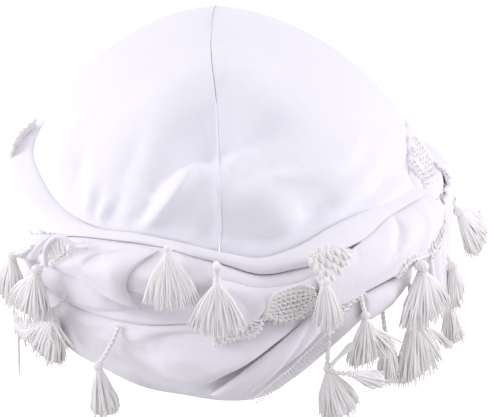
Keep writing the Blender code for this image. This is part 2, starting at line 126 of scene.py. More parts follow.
# Broad rises and hollows of the cloth, round in plan
Swell = namedtuple("Swell", "azimuth height rise width")
CAP_SWELLS = (
    Swell(26, 119, 5.0, 17),
    Swell(7, 106, -7.6, 14),
    Swell(25, 108, -6.2, 13),
    Swell(-32, 114, 3.2, 17),
    Swell(-9, 104, -4.6, 12),
    Swell(12, 88, 3.0, 12),
    Swell(10, 73, -5.4, 12),
    Swell(28, 76, -4.6, 13),
    Swell(-6, 74, -2.6, 10),
)

# Heights of the winding's edges round the head
Band = namedtuple("Band", "azimuth rim crease roll_bottom roll_top")
BANDS = (
    Band(-165, 10, 30, 46, 54),
    Band(-140, 17, 34, 50, 59),
    Band(-115, 27, 39, 56, 66),
    Band(-90, 31, 41, 61, 71),
    Band(-70, 24, 39, 62, 73),
    Band(-55, 11.5, 36, 60, 70.5),
    Band(-40, 5.5, 35, 66, 69.5),
    Band(-25, 2.5, 36.5, 70, 73),
    Band(-12, 2.5, 39, 69.8, 72.5),
    Band(0, 1, 41.5, 65, 69.5),
    Band(10, 1.5, 42, 60, 66.5),
    Band(20, 8, 44, 61, 69),
    Band(32, 19, 48, 66.5, 73.5),
    Band(45, 28, 49, 67, 74),
    Band(60, 34, 49, 64.5, 71.5),
    Band(75, 37, 47, 60, 67.5),
    Band(90, 36, 44.5, 54.5, 62),
    Band(120, 25, 37, 48, 56),
    Band(150, 13, 31, 45, 53),
)


def follow(places, values, at):
    """Heights of a smooth curve through the given places and values, level beyond its ends."""
    places, values = np.asarray(places, float), np.asarray(values, float)
    at = np.clip(at, places[0], places[-1])
    slopes = np.gradient(values, places)
    index = np.clip(np.searchsorted(places, at) - 1, 0, len(places) - 2)
    width = places[index + 1] - places[index]
    t = (at - places[index]) / width
    return (
        values[index] * (1 + 2 * t) * (1 - t) ** 2
        + slopes[index] * width * t * (1 - t) ** 2
        + values[index + 1] * t * t * (3 - 2 * t)
        + slopes[index + 1] * width * t * t * (t - 1)
    )


def ease(value):
    value = np.clip(value, 0.0, 1.0)
    return value * value * (3 - 2 * value)


def edge_height(column, azimuth):
    """One of the winding's edge heights, all the way round."""
    turns = [(row.azimuth + turn, getattr(row, column)) for turn in (-360, 0, 360) for row in BANDS]
    return follow([a for a, _ in turns], [h for _, h in turns], azimuth)


def half_axes(height):
    """Half width and half length of the head form, and how far its middle leans aside."""
    height = np.asarray(height, float)
    swell = np.sin(0.5 * np.pi * np.clip(height / WIDEST_HEIGHT, 0, 1))
    up = np.clip((height - WIDEST_HEIGHT) / DOME_HEIGHT, 0, 1)
    above = height > WIDEST_HEIGHT
    width = np.where(
        above,
        HALF_WIDTH * (1 - up**SIDE_ROUNDNESS) ** (1 / SIDE_ROUNDNESS),
        RIM_HALF_WIDTH + (HALF_WIDTH - RIM_HALF_WIDTH) * swell,
    )
    length = np.where(
        above,
        HALF_LENGTH * (1 - up**FRONT_ROUNDNESS) ** (1 / FRONT_ROUNDNESS),
        RIM_HALF_LENGTH + (HALF_LENGTH - RIM_HALF_LENGTH) * swell,
    )
    return width, length, APEX_LEAN * up**LEAN_BEND


def place(azimuth, height, lift):
    """Points, in millimetres, at azimuths, heights and lifts."""
    width, length, lean = half_axes(height)
    turn = np.radians(azimuth)
    x = lean + (width + lift) * np.sin(turn)
    y = -(length + lift) * np.cos(turn)
    return np.stack(np.broadcast_arrays(x, y, np.asarray(height, float)), axis=-1)


def outward(points):
    """The way out of the head form at points on it."""
    up = np.maximum(points[..., 2] - WIDEST_HEIGHT, 0.0)
    way = np.stack(
        (points[..., 0] / HALF_WIDTH**2, points[..., 1] / HALF_LENGTH**2, up / DOME_HEIGHT**2), axis=-1
    )
    return way / np.maximum(np.linalg.norm(way, axis=-1, keepdims=True), 1e-9)


def relief(folds, points, steps=41):
    """How far the folds raise or sink the cloth at points on the head form."""
    total = np.zeros(len(points))
    for fold in folds:
        share = np.linspace(0, 1, steps)
        azimuths = follow((0, 0.5, 1), (fold.azimuth_1, fold.azimuth_2, fold.azimuth_3), share)
        heights = follow((0, 0.5, 1), (fold.height_1, fold.height_2, fold.height_3), share)
        line = place(azimuths, heights, 0)
        along = np.gradient(line, axis=0)
        along /= np.linalg.norm(along, axis=1, keepdims=True)
        across = np.cross(outward(line), along)
        across /= np.linalg.norm(across, axis=1, keepdims=True)
        reach = 3 * max(fold.left, fold.right)
        near = np.where(((points > line.min(0) - reach) & (points < line.max(0) + reach)).all(1))[0]
        if not len(near):
            continue
        gaps = points[near, None] - line[None]
        closest = np.einsum("ijk,ijk->ij", gaps, gaps).argmin(1)
        gap = gaps[np.arange(len(near)), closest]
        aside = (gap * across[closest]).sum(1)
        beyond = np.where((closest == 0) | (closest == steps - 1), (gap * along[closest]).sum(1), 0)
        distance = np.hypot(aside, beyond)
        width = np.where(aside > 0, fold.left, fold.right)
        taper = np.sin(np.pi * np.clip(share[closest], 0.03, 0.97)) ** 0.5
        total[near] += fold.rise * taper * np.exp(-((distance / width) ** 1.6))
    return total


def swelling(swells, points):
    """How far the broad forms raise or sink the cloth at points on the head form."""
    total = np.zeros(len(points))
    for swell in swells:
        far = np.linalg.norm(points - place(swell.azimuth, swell.height, 0), axis=1)
        total += swell.rise * np.exp(-((far / swell.width) ** 2))
    return total


def set_points(piece, points):
    """Puts a mesh's vertices at points in millimetres."""
    piece.data.vertices.foreach_set("co", (np.asarray(points) * MM).astype(np.float32).ravel())
    piece.data.update()


def get_points(piece):
    points = np.empty(len(piece.data.vertices) * 3, np.float32)
    piece.data.vertices.foreach_get("co", points)
    return points.reshape(-1, 3).astype(float)


def set_cloth_map(piece, across, along):
    """A UV map in metres of cloth, so that a weave keeps its real size wherever the cloth goes."""
    corners = np.empty(len(piece.data.loops), np.int32)
    piece.data.loops.foreach_get("vertex_index", corners)
    flat = np.stack((across[corners], along[corners]), axis=-1) * MM
    layer = piece.data.uv_layers.active or piece.data.uv_layers.new(name="UVMap")
    layer.data.foreach_set("uv", flat.astype(np.float32).ravel())


def apply_modifier(piece, name, kind, **settings):
    """Adds a modifier with its settings and applies it."""
    modifier = piece.modifiers.new(name, kind)
    for setting, value in settings.items():
        setattr(modifier, setting, value)
    bpy.ops.object.select_all(action="DESELECT")
    bpy.context.view_layer.objects.active = piece
    piece.select_set(True)
    bpy.ops.object.modifier_apply(modifier=name)


def linear(hex_colour):
    """A hex sRGB colour as the linear colour that a shader takes."""
    channels = [int(hex_colour[i : i + 2], 16) / 255 for i in (1, 3, 5)]
    return (*[c / 12.92 if c <= 0.04045 else ((c + 0.055) / 1.055) ** 2.4 for c in channels], 1.0)


def add_node(tree, kind, settings, links):
    """Adds a node, sets its properties and sockets, and links other nodes' outputs into it."""
    node = tree.nodes.new(kind)
    for name, value in settings.items():
        if isinstance(name, str) and hasattr(node, name):
            setattr(node, name, value)
        else:
            node.inputs[name].default_value = value
    for name, (source, output) in links.items():
        tree.links.new(source.outputs[output], node.inputs[name])
    return node


def new_cotton(name, roughness, sheen, dark, pale, scale, detail, crease, crease_depth):
    """A matt cotton whose tone and creases follow one noise, with its map and its crease node."""
    material = bpy.data.materials.new(name)
    material.use_nodes = True
    tree = material.node_tree
    shader = tree.nodes["Principled BSDF"]
    shader.inputs["Roughness"].default_value = roughness
    shader.inputs["IOR"].default_value = 1.45
    shader.inputs["Sheen Weight"].default_value = sheen
    shader.inputs["Sheen Roughness"].default_value = 0.5
    where = add_node(tree, "ShaderNodeTexCoord", {}, {})
    uneven = add_node(
        tree,
        "ShaderNodeTexNoise",
        {"Scale": scale, "Detail": detail, "Roughness": 0.6},
        {"Vector": (where, "Object")},
    )
    tone = add_node(
        tree,
        "ShaderNodeMix",
        {"data_type": "RGBA", 6: linear(dark), 7: linear(pale)},
        {0: (uneven, "Fac")},
    )
    tree.links.new(tone.outputs[2], shader.inputs["Base Color"])
    creased = add_node(
        tree, "ShaderNodeBump", {"Strength": crease, "Distance": crease_depth}, {"Height": (uneven, "Fac")}
    )
    tree.links.new(creased.outputs["Normal"], shader.inputs["Normal"])
    return material, where, creased


def add_threads(material, where, creased, upright, level, level_share, strength):
    """Lays two crossing sets of threads over a cotton's creases, as a second bump."""
    tree = material.node_tree
    first, second = (
        add_node(tree, "ShaderNodeTexWave", settings, {"Vector": (where, "UV")})
        for settings in (upright, level)
    )
    both = add_node(
        tree,
        "ShaderNodeMath",
        {"operation": "MULTIPLY_ADD", 1: level_share},
        {0: (second, "Fac"), 2: (first, "Fac")},
    )
    bump = add_node(
        tree,
        "ShaderNodeBump",
        {"Strength": strength, "Distance": 0.0002},
        {"Height": (both, 0), "Normal": (creased, "Normal")},
    )
    tree.links.new(bump.outputs["Normal"], tree.nodes["Principled BSDF"].inputs["Normal"])


# Cotton jersey, bleached white: a matt knit whose wales run up the panel. The real wales are 0.6 mm
# apart, too fine to show here, so they are drawn 1.1 mm apart and very low.
BANDS_PER_UNIT = 3.18
WALE_SCALE, COURSE_SCALE = (1 / (spacing * MM * BANDS_PER_UNIT) for spacing in (1.1, 0.9))
jersey, where, creased = new_cotton(
    "jersey, bleached cotton knit", 0.86, 0.18, "#F0EFF4", "#F6F5F8", 120.0, 5.0, 0.25, 0.0006
)
add_threads(
    jersey,
    where,
    creased,
    {"bands_direction": "X", "Scale": WALE_SCALE, "Distortion": 1.2, "Detail": 1.0, "Detail Scale": 2.0},
    {"bands_direction": "Y", "Scale": COURSE_SCALE, "Distortion": 0.8},
    0.35,
    0.06,
)

for name, side in (("crown_panel_right", 1), ("crown_panel_left", -1)):
    rows = BAND_ROWS + DOME_ROWS
    bpy.ops.mesh.primitive_grid_add(x_subdivisions=PANEL_COLUMNS, y_subdivisions=rows, size=2)
    panel = bpy.context.object
    grid = get_points(panel)
    along = (side * grid[:, 0] + 1) / 2
    row = (grid[:, 1] + 1) / 2 * rows
    azimuth = side * 180 * (along - COLUMN_CROWDING * np.sin(2 * np.pi * along) / (2 * np.pi))
    tuck = edge_height("rim", azimuth) + CAP_TUCK
    in_dome = WIDEST_HEIGHT + DOME_HEIGHT * np.sin(0.5 * np.pi * np.clip((row - BAND_ROWS) / DOME_ROWS, 0, 1))
    height = np.where(row <= BAND_ROWS, tuck + (WIDEST_HEIGHT - tuck) * row / BAND_ROWS, in_dome)
    width, length, lean = half_axes(height)
    away = width * np.abs(np.sin(np.radians(azimuth)))
    base = np.stack((side * (SEAM_GAP + away), -length * np.cos(np.radians(azimuth)), height), axis=-1)
    shown = ease((height - edge_height("roll_top", azimuth) + 1.0) / FOLD_FADE)
    step = SEAM_RISE if side < 0 else LOW_SIDE_RISE
    lost = WELT_LOSS * ease((height - WELT_FADE_FROM) / WELT_FADE)
    welt = step * (1 - lost) * np.exp(-((away / SEAM_REACH) ** 2))
    on_form = place(azimuth, height, 0)
    lift = welt + relief(CAP_FOLDS, on_form) + swelling(CAP_SWELLS, on_form)
    seat = np.exp(-(((height - edge_height("roll_top", azimuth) + 1.0) / HEM_SPREAD) ** 2))
    seat = HEM_FILL * (HEM_FILL_RIGHT if side > 0 else 1.0) * seat
    seat = seat * ease((np.abs(azimuth) - HEM_FROM) / HEM_FADE)
    way = outward(base)
    way[away < 0.5, 0] = 0.0
    front = ease(3 * np.cos(np.radians(azimuth)) + 0.5)
    aside = follow(*zip(*SEAM_PATH), height) * np.exp(-((away / SEAM_DRIFT) ** 2)) * front
    sideways = np.stack((lean + aside, 0 * lean, 0 * lean), axis=-1)
    set_points(panel, base + way * (shown * lift + seat)[:, None] + sideways)
    girth = np.radians(azimuth) * (HALF_WIDTH + HALF_LENGTH) / 2
    up_dome = WIDEST_HEIGHT + (row - BAND_ROWS) / DOME_ROWS * DOME_ARC * DOME_HEIGHT
    set_cloth_map(panel, girth, np.where(row <= BAND_ROWS, height, up_dome))
    apply_modifier(panel, "Poles", "WELD", merge_threshold=0.00002)
    apply_modifier(panel, "Cloth", "SOLIDIFY", thickness=JERSEY_THICKNESS * MM, offset=-1.0)
    panel.name = panel.data.name = f"jersey_{name}"
    panel.data.materials.append(jersey)
    panel.data.shade_smooth()
    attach(panel, "root")
    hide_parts(name)


# Crown seam: the two panels' edges, sewn together, pressed to one side and stitched down, so that a
# narrow welt stands up along the middle of the dome, from the winding at the brow to the one behind.
SEAM_RADIUS = 0.3
SEAM_WANDER = 0.25


def tube(name, paths, radius, sides=1, taper=0.0):
    """One mesh of round strands that follow paths of points in millimetres; taper thins their ends."""
    strands = bpy.data.curves.new(name, "CURVE")
    strands.dimensions = "3D"
    strands.bevel_depth = radius * MM
    strands.bevel_resolution = sides
    strands.use_fill_caps = True
    for path in paths:
        path = np.asarray(path, float)
        spline = strands.splines.new("POLY")
        spline.points.add(len(path) - 1)
        spline.points.foreach_set("co", np.column_stack((path * MM, np.ones(len(path)))).ravel())
        share = np.linspace(0, 1, len(path))
        spline.points.foreach_set("radius", 1 - taper * np.clip(share * 4 - 3, 0, 1))
    piece = bpy.data.objects.new(name, strands)
    bpy.context.scene.collection.objects.link(piece)
    bpy.ops.object.select_all(action="DESELECT")
    bpy.context.view_layer.objects.active = piece
    piece.select_set(True)
    bpy.ops.object.convert(target="MESH")
    piece = bpy.context.object
    piece.data.name = name
    piece.data.shade_smooth()
    return piece


over = np.linspace(0, 1, 161)
front_top = edge_height("roll_top", 0.0) - 1
back_top = edge_height("roll_top", 180.0) - 1
rise = np.where(over < 0.5, over * 2, 2 - over * 2)
height = np.where(
    over < 0.5,
    front_top + (WIDEST_HEIGHT + DOME_HEIGHT - front_top) * np.sin(0.5 * np.pi * rise),
    back_top + (WIDEST_HEIGHT + DOME_HEIGHT - back_top) * np.sin(0.5 * np.pi * rise),
)
line = place(np.where(over < 0.5, 0.0, 180.0), height, SEAM_RISE - 0.2)
line[:, 0] += -0.1 + SEAM_WANDER * (np.sin(height / 6.5) + 0.5 * np.sin(height / 2.9))
line[:, 0] += np.where(over < 0.5, follow(*zip(*SEAM_PATH), height), 0)
line[:, 2] += 0.25 * np.clip((height - WIDEST_HEIGHT) / DOME_HEIGHT, 0, 1)
seam = tube("crown_seam", [line], SEAM_RADIUS, sides=2)
seam.data.materials.append(jersey)
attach(seam, "root")


# Winding: the scarf goes round the rim in three turns, each a soft roll of thin cotton. The widest
# lies low, the middle one sinks between them at the brow, and the tight one at the top grips the cap.
RING_CLEARANCE, WRAP_GAP, TOP_FADE = 0.8, 0.2, 6.0
ROLL_SIDE_ROUNDNESS, ROLL_EDGE_ROUNDNESS = 0.6, 0.75
RING_STATIONS, RING_SIDES = 540, 84
SINK_DEPTH, SINK_FROM, SINK_TO, SINK_FADE = 0.1, -22.0, 12.0, 14.0
UNDERCUT, UNDERCUT_FROM, UNDERCUT_TO, UNDERCUT_FADE = 0.5, -12.0, 28.0, 12.0
THINNING, THIN_FROM, THIN_FADE_IN, THIN_TO, THIN_FADE_OUT = 0.24, -52, 14, -4, 12
PLEAT_DEPTH, PLEATS_FROM, PLEATS_FADE, PLEAT_DRIFT = 1.1, 62, 20, 0.7

# How far the winding stands out, from its rim (0) to its upper edge (1)
Profile = namedtuple("Profile", "share lift")
PROFILE = (
    Profile(0.0, 4.0),
    Profile(0.07, 7.5),
    Profile(0.16, 10.5),
    Profile(0.3, 13.2),
    Profile(0.45, 14.0),
    Profile(0.6, 13.6),
    Profile(0.75, 13.0),
    Profile(0.87, 11.6),
    Profile(0.95, 8.6),
    Profile(1.0, 4.5),
)
LOWER_FOLDS = (
    Fold(-41, 37.5, -29, 36.5, -7, 42, -3.5, 2, 4),
    Fold(-19, 32, -11.5, 35.5, -2, 37, -5.4, 1.8, 5),
    Fold(-30, 32, -24, 26, -15, 24.5, -3.8, 4, 6),
    Fold(-46, 33, -38, 28, -30, 30, -1.9, 2.5, 4),
    Fold(-33, 17, -22, 12, -8, 6.5, -4.4, 5, 4),
    Fold(-66, 18, -52, 12.5, -38, 8, 4.6, 6, 5),
    Fold(-48, 32, -36, 24, -27, 20, -2.6, 2.4, 4),
    Fold(-36, 22, -28, 16, -19, 15, -2.1, 4, 6),
    Fold(-7, 16.5, 6.4, 28.5, 19, 42, 5.4, 6, 3),
    Fold(-4.5, 10, 4, 20.5, 16.5, 38.5, -6.1, 2.6, 5),
    Fold(-17, 17.5, -10, 16.5, -4, 15.5, 2.6, 5, 4),
    Fold(-20, 22.5, -11, 25.5, 2, 31, 2.2, 6, 6),
    Fold(7.5, 5.5, 16.6, 19.6, 25.8, 33.6, -10.5, 2.8, 3.0),
    Fold(34, 30, 46, 36, 60, 40, -2.2, 4, 4),
    Fold(-70, 34, -90, 36, -120, 31, -2.4, 4, 6),
    Fold(-60, 33, -80, 35, -100, 36, 1.6, 3, 3),
    Fold(96, 33, 120, 28, 150, 22, -2.6, 4, 6),
    Fold(130, 28, 160, 20, 190, 20, -2.9, 5, 5),
    Fold(90, 38, 130, 32, 180, 24, 1.9, 4, 2),
    Fold(-90, 38, -130, 30, -180, 24, 1.9, 2, 4),
)
MIDDLE_FOLDS = (
    Fold(-27, 49, -22, 49.8, -18, 50.5, -2.8, 1.2, 3),
    Fold(-25, 45, -16, 47.3, -3, 52.5, -3.4, 1.2, 3),
    Fold(-10, 53, -6.5, 56, -3, 58.5, -1.6, 1.4, 3),
    Fold(-9, 62.5, -6, 66, -3, 68.5, -1.4, 1.8, 3),
    Fold(-38, 37, -24.5, 42, -10, 45.5, -2.5, 1.2, 2.5),
    Fold(-27, 46.6, -13, 44.2, 1, 43.0, -11.5, 4.2, 4.4),
    Fold(-22, 57, -14, 56, -8, 57, -2.2, 2, 4),
    Fold(-22, 63, -15, 61, -9, 60, 1.7, 3, 3),
    Fold(-60, 55, -85, 52, -120, 46, -2.2, 4, 6),
    Fold(-58, 47, -75, 46, -95, 47, -1.8, 3, 4),
    Fold(100, 47, 130, 42, 180, 38, -2.1, 3, 5),
    Fold(96, 42, 135, 38, 180, 33, -1.7, 3, 4),
    Fold(-100, 48, -140, 40, -180, 36, -2.0, 5, 3),
)
ROLL_FOLDS = (
    Fold(-34, 66, -20, 70.5, -3, 67, -1.1, 1.2, 2.5),
    Fold(12, 63, 30, 68, 52, 70, 1.1, 2.5, 1.2),
    Fold(36, 71, 52, 69, 66, 64, -1.1, 2, 2),
    Fold(-70, 66, -58, 65, -46, 67, -1.4, 2, 3),
    Fold(70, 61, 92, 56, 120, 51, -1.1, 2, 3),
    Fold(-80, 66, -110, 60, -150, 52, -1.3, 3, 2),
)


def envelope(azimuth, height):
    """Lift of the winding's outer surface, which runs down onto the cap above its upper edge."""
    rim, top = edge_height("rim", azimuth), edge_height("roll_top", azimuth)
    lift = follow([p.share for p in PROFILE], [p.lift for p in PROFILE], (height - rim) / (top - rim))
    return lift * (1 - ease((height - top) / TOP_FADE))


def gathers(azimuth, height, spacing, drift):
    """Fine pleats that run along the band, rounded on top and sharp between."""
    phase = height / spacing + drift * np.sin(np.radians(azimuth * 2.3) + height / 19)
    phase = phase + 0.35 * np.sin(np.radians(azimuth * 7.1) + 1.3)
    return np.abs(np.sin(np.pi * phase)) ** 0.7 - 0.75


# Scarf cotton, bleached white: a thin, soft plain weave that creases. Its threads are 0.4 mm apart
# and are drawn 0.9 mm apart, because the finer ones are lost in the picture.
THREADS = {"Scale": 1 / (0.9 * MM * BANDS_PER_UNIT), "Distortion": 1.5, "Detail": 2.0}
scarf, where, creased = new_cotton(
    "scarf, bleached plain-weave cotton", 0.88, 0.15, "#F4F3F5", "#F9F8FA", 150.0, 6.0, 0.3, 0.0008
)
add_threads(
    scarf,
    where,
    creased,
    {"bands_direction": "X", **THREADS},
    {"bands_direction": "Y", **THREADS},
    0.7,
    0.14,
)


def finish_cloth(piece, name, *nodes):
    """Names a piece of the scarf, gives it its cotton and lets it stand for its CAD nodes."""
    piece.name = piece.data.name = name
    piece.data.materials.append(scarf)
    piece.data.shade_smooth()
    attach(piece, "root")
    if nodes:
        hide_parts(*nodes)


for name, low_edge, high_edge, folds, pleat in (
    ("lower_wrap", "rim", "crease", LOWER_FOLDS, 9.0),
    ("middle_wrap", "crease", "roll_bottom", MIDDLE_FOLDS, 5.5),
    ("brow_roll", "roll_bottom", "roll_top", ROLL_FOLDS, 4.5),
):
    bpy.ops.mesh.primitive_torus_add(
        major_segments=RING_STATIONS, minor_segments=RING_SIDES, major_radius=1.0, minor_radius=0.25
    )
    ring = bpy.context.object
    grid = get_points(ring)
    azimuth = np.degrees(np.arctan2(grid[:, 0], -grid[:, 1]))
    across = np.arctan2(grid[:, 2], np.hypot(grid[:, 0], grid[:, 1]) - 1.0)
    low = edge_height(low_edge, azimuth) + WRAP_GAP / 2
    high = edge_height(high_edge, azimuth) - WRAP_GAP / 2
    outwards = np.sign(np.cos(across)) * np.abs(np.cos(across)) ** ROLL_SIDE_ROUNDNESS
    upwards = np.sign(np.sin(across)) * np.abs(np.sin(across)) ** ROLL_EDGE_ROUNDNESS
    height = (low + high) / 2 + (high - low) / 2 * upwards
    outer = envelope(azimuth, height)
    if name == "middle_wrap":
        sunk = ease((azimuth - SINK_FROM) / SINK_FADE) * ease((SINK_TO - azimuth) / SINK_FADE)
        outer = outer * (1 - SINK_DEPTH * sunk)
    if name == "brow_roll":
        thin = ease((azimuth - THIN_FROM) / THIN_FADE_IN) * ease((THIN_TO - azimuth) / THIN_FADE_OUT)
        outer = outer * (1 - THINNING * thin)
        turned = ease((azimuth - UNDERCUT_FROM) / UNDERCUT_FADE)
        turned = turned * ease((UNDERCUT_TO - azimuth) / UNDERCUT_FADE)
        outer = outer * (1 - UNDERCUT * turned * (1 - (height - low) / (high - low)))
    shown = np.clip(outwards, 0, 1)
    outer += shown * relief(folds, place(azimuth, height, 0))
    behind = ease((np.abs(azimuth) - PLEATS_FROM) / PLEATS_FADE)
    outer += shown * behind * PLEAT_DEPTH * gathers(azimuth, height, pleat, PLEAT_DRIFT)
    set_points(ring, place(azimuth, height, RING_CLEARANCE + (outer - RING_CLEARANCE) * (1 + outwards) / 2))
    set_cloth_map(ring, np.radians(azimuth) * 100, height + 10 * outwards)
    finish_cloth(ring, f"cotton_{name}", name)


# Swaths: the scarf's own breadth, folded flat and laid across the winding from the left temple, over
# the brow and up the right side, with its folded edges turned under. Each row crosses the swath.
SWATH_THICKNESS, LAYER_GAP, CLOTH_THICKNESS, EDGE_ROLL = 2.2, 0.4, 0.8, 2.6
HUNG_LIFT, MEASURED_LIFT = 14.0, 14
Across = namedtuple(
    "Across", "top_azimuth top_height top_lift bottom_azimuth bottom_height bottom_lift bow camber"
)
LEFT_SWATH = (
    Across(-76, 59, -5.0, -74, 47.0, -5.0, 0, 0.4),
    Across(-67, 58, -4.2, -65, 48.0, -4.2, 0, 1.0),
    Across(-57, 57.5, -1.6, -56, 49.0, -1.6, 0, 1.4),
    Across(-49, 56.8, 0.2, -49, 50.5, 0.2, 0, 1.6),
    Across(-44, 58.0, 0.4, -43.5, 51.5, 0.4, 0, 1.8),
    Across(-39, 65.0, 0.4, -38, 52.5, 0.4, 0, 2.0),
    Across(-34.5, 68.4, 0.2, -34, 50.5, 0.2, -1, 2.2),
    Across(-29, 70.2, 0.0, -29.5, 48.8, 0.2, -2, 2.0),
    Across(-23, 71.2, 0.0, -25, 47.4, 0.2, -3, 1.6),
    Across(-17.0, 70.6, -0.8, -20.5, 45.8, -1.6, -5, 0.6),
)
LEFT_FOLDS = (
    Fold(-46, 56, -41.5, 63.5, -36, 67.8, -4.5, 2.2, 2.4),
    Fold(-30.5, 66.5, -26, 68.5, -21, 70.5, -1.5, 1.4, 3),
    Fold(-35, 60.5, -33, 64, -30, 66.5, -1.5, 1.2, 2.5),
    Fold(-34, 62, -31, 63.5, -28, 64.5, -1.1, 1.2, 2),
    Fold(-55, 54, -47, 53, -38, 55.5, -0.9, 2, 3),
    Fold(-38, 60, -33, 55, -27, 50, -1.2, 1.5, 3),
    Fold(-28, 62, -25.5, 57, -24, 51, 0.9, 3, 3),
)
RIGHT_SWATH = (
    Across(21.5, 60.6, 2.4, 20.5, 49.0, 2.6, 1.5, 0.4),
    Across(28, 65.6, 2.0, 28, 47.2, 3.0, 0, 1.0),
    Across(35, 68.6, 0.8, 35, 49.6, 2.6, 0, 2.0),
    Across(41, 70.2, -0.2, 42.5, 50.6, 2.0, 0, 2.8),
    Across(45.5, 71.2, -0.5, 47, 50.8, 1.8, 0, 3.0),
    Across(50, 71.2, -0.6, 52, 51.0, 1.8, 0, 3.0),
    Across(55, 70.6, -0.6, 57, 52.0, 2.0, 0, 2.8),
    Across(60, 69.6, -0.8, 61.5, 54.5, 2.2, 0, 2.4),
    Across(64, 68.6, -1.0, 65, 58.0, 2.0, 0, 1.8),
    Across(68, 67.6, -1.6, 68.5, 61.0, 0.6, 0, 0.8),
)
RIGHT_FOLDS = (
    Fold(30, 55, 42, 60, 56, 70, 0.8, 4, 3),
    Fold(34.5, 70, 33.6, 67.5, 32.5, 65, -1.2, 0.9, 1.8),
    Fold(50.0, 73.0, 47.5, 67.5, 42.5, 62.0, -2.8, 1.0, 2.8),
    Fold(51, 56, 56, 64, 60, 72, 1.4, 1.6, 3),
    Fold(55, 55, 60, 62, 64, 70, -1.2, 1.6, 2.5),
    Fold(36, 51, 46, 53, 60, 55, 0.7, 3, 2),
)
CENTRE_FLAP = (
    Across(-3.0, 62.6, -1.6, -2.8, 33.0, -1.0, 0, 0.4),
    Across(2, 61.4, 0.0, 1.5, 37.5, 0.0, 0, 1.2),
    Across(7, 58.9, 0.0, 6.5, 43.0, 0.0, 0, 1.2),
    Across(12, 58.2, 0.0, 12, 52.5, 0.0, 0, 0.8),
    Across(18, 58.8, 0.0, 18, 54.5, 0.0, 0, 0.4),
    Across(25, 61.2, -0.6, 25, 53.0, -0.6, 0, 0.0),
)
FLAP_FOLDS = (
    Fold(2, 58, 5, 52, 6, 46, -0.7, 2, 2),
    Fold(8, 57, 9, 53, 8, 48, 0.6, 1.5, 2.5),
    Fold(-2, 54, 0, 47, 0, 40, 0.5, 2, 3),
)
RIGHT_FOLD = (
    Across(34.6, 47.8, 1.0, 35.4, 36.0, 1.4, 0, 0.4),
    Across(38.5, 48.6, 1.0, 38.2, 32.8, 1.6, 0, 1.6),
    Across(43.5, 49.0, 1.0, 42.5, 33.6, 1.6, 0, 2.0),
    Across(47.5, 49.2, 1.0, 46.6, 36.2, 1.4, 0, 1.4),
    Across(51.5, 49.4, 1.0, 51.0, 41.5, 1.0, 0, 0.4),
)
CORNER_FOLDS = (Fold(40, 47, 43, 41, 44, 35, 0.6, 2, 3),)
LOWER_SWATH = (
    Across(-4, 7.5, -0.4, 4.5, 4.6, -0.2, 0, 0.4),
    Across(2.5, 18.5, 0.0, 9.4, 13.0, 0.0, 0, 1.2),
    Across(8.5, 27.5, 0.0, 14.2, 20.8, 0.0, 0, 1.4),
    Across(15, 36.0, 0.0, 19.2, 28.0, 0.0, 0, 1.6),
    Across(21.5, 44.6, -0.4, 24.4, 36.4, -0.4, 0, 0.8),
)
LOWER_SWATH_FOLDS = (
    Fold(13, 19, 16, 27.5, 21.5, 43, -1.8, 1.4, 2.4),
    Fold(3, 7, 8, 17, 14, 27, -1.2, 1.6, 2),
    Fold(16, 22, 18, 29, 22.5, 40, 0.8, 2, 2),
)
BACK_LAYER = (
    Across(93.5, 65.0, -1.6, 84, 51.0, 0.4, 0, 0.8),
    Across(100, 64.0, -1.6, 93, 43.0, 2.4, 0, 3.2),
    Across(110, 60.5, -1.6, 106, 35.0, 2.4, 0, 3.2),
    Across(122, 57.5, -1.6, 121, 31.0, 1.6, 0, 2.4),
    Across(136, 54.5, -0.6, 138, 30.0, 0.4, 0, 1.0),
)
BACK_FOLDS = (
    Fold(88, 58, 105, 52, 125, 46, -1.2, 3, 4),
    Fold(92, 50, 108, 43, 128, 39, -1.0, 3, 4),
    Fold(92, 62, 108, 57, 130, 51, 0.8, 3, 3),
)
TEMPLE_LAYER = (
    Across(62, 68.5, -14.0, 62, 50, -2.0, 0, 1.0),
    Across(68, 72.0, -14.0, 68, 50, -2.0, 0, 1.0),
    Across(74, 75.5, -14.5, 73, 50, -2.6, 0, 0.0),
    Across(81, 77.5, -15.0, 79.5, 50, -3.4, 0, -1.0),
    Across(90, 78.0, -15.6, 88, 50, -4.0, 0, -1.5),
    Across(101, 75.0, -15.6, 98, 50, -4.0, 0, -1.0),
    Across(114, 67.0, -15.6, 112, 49, -4.0, 0, 0.0),
)
TEMPLE_FOLDS = (
    Fold(78, 66, 83, 61, 90, 57, 2.4, 3, 4),
    Fold(74, 70, 80, 66, 88, 63, -1.8, 1.6, 3),
    Fold(72, 62, 78, 58, 84, 54, -1.4, 2, 3),
)
HANGING_LAYER = (
    Across(56, 60, -2.0, 61, 34, 0.0, 0, 0.0),
    Across(62, 60, -1.5, 66, 25, 1.0, 0, 0.0),
    Across(69, 60, -1.5, 70.5, 18, 1.5, 0, 0.0),
    Across(76, 59, -2.0, 75, 15, 1.5, 0, 0.0),
    Across(83, 57, -2.4, 80, 19, 0.5, 0, 0.0),
    Across(89, 55, -2.6, 86, 27, -1.0, 0, 0.0),
)
HEM_PLEATS = (
    Across(-55.5, 59.4, -1.6, -64.5, 43.0, 0.4, 0, 0.8),
    Across(-53.5, 61.0, -1.4, -61.5, 45.0, 1.2, 0, 1.2),
    Across(-51, 62.6, -1.2, -58, 47.5, 1.8, 0, 1.4),
    Across(-49, 63.8, -1.2, -54.5, 50.0, 2.2, 0, 1.4),
    Across(-47.5, 64.6, -1.6, -51, 52.0, 2.2, 0, 1.0),
)
HANGING_FOLDS = (
    Fold(69, 54, 72, 42, 73, 28, -1.4, 1.4, 2.6),
    Fold(77, 51, 78, 40, 79, 24, -1.6, 1.4, 2.6),
)


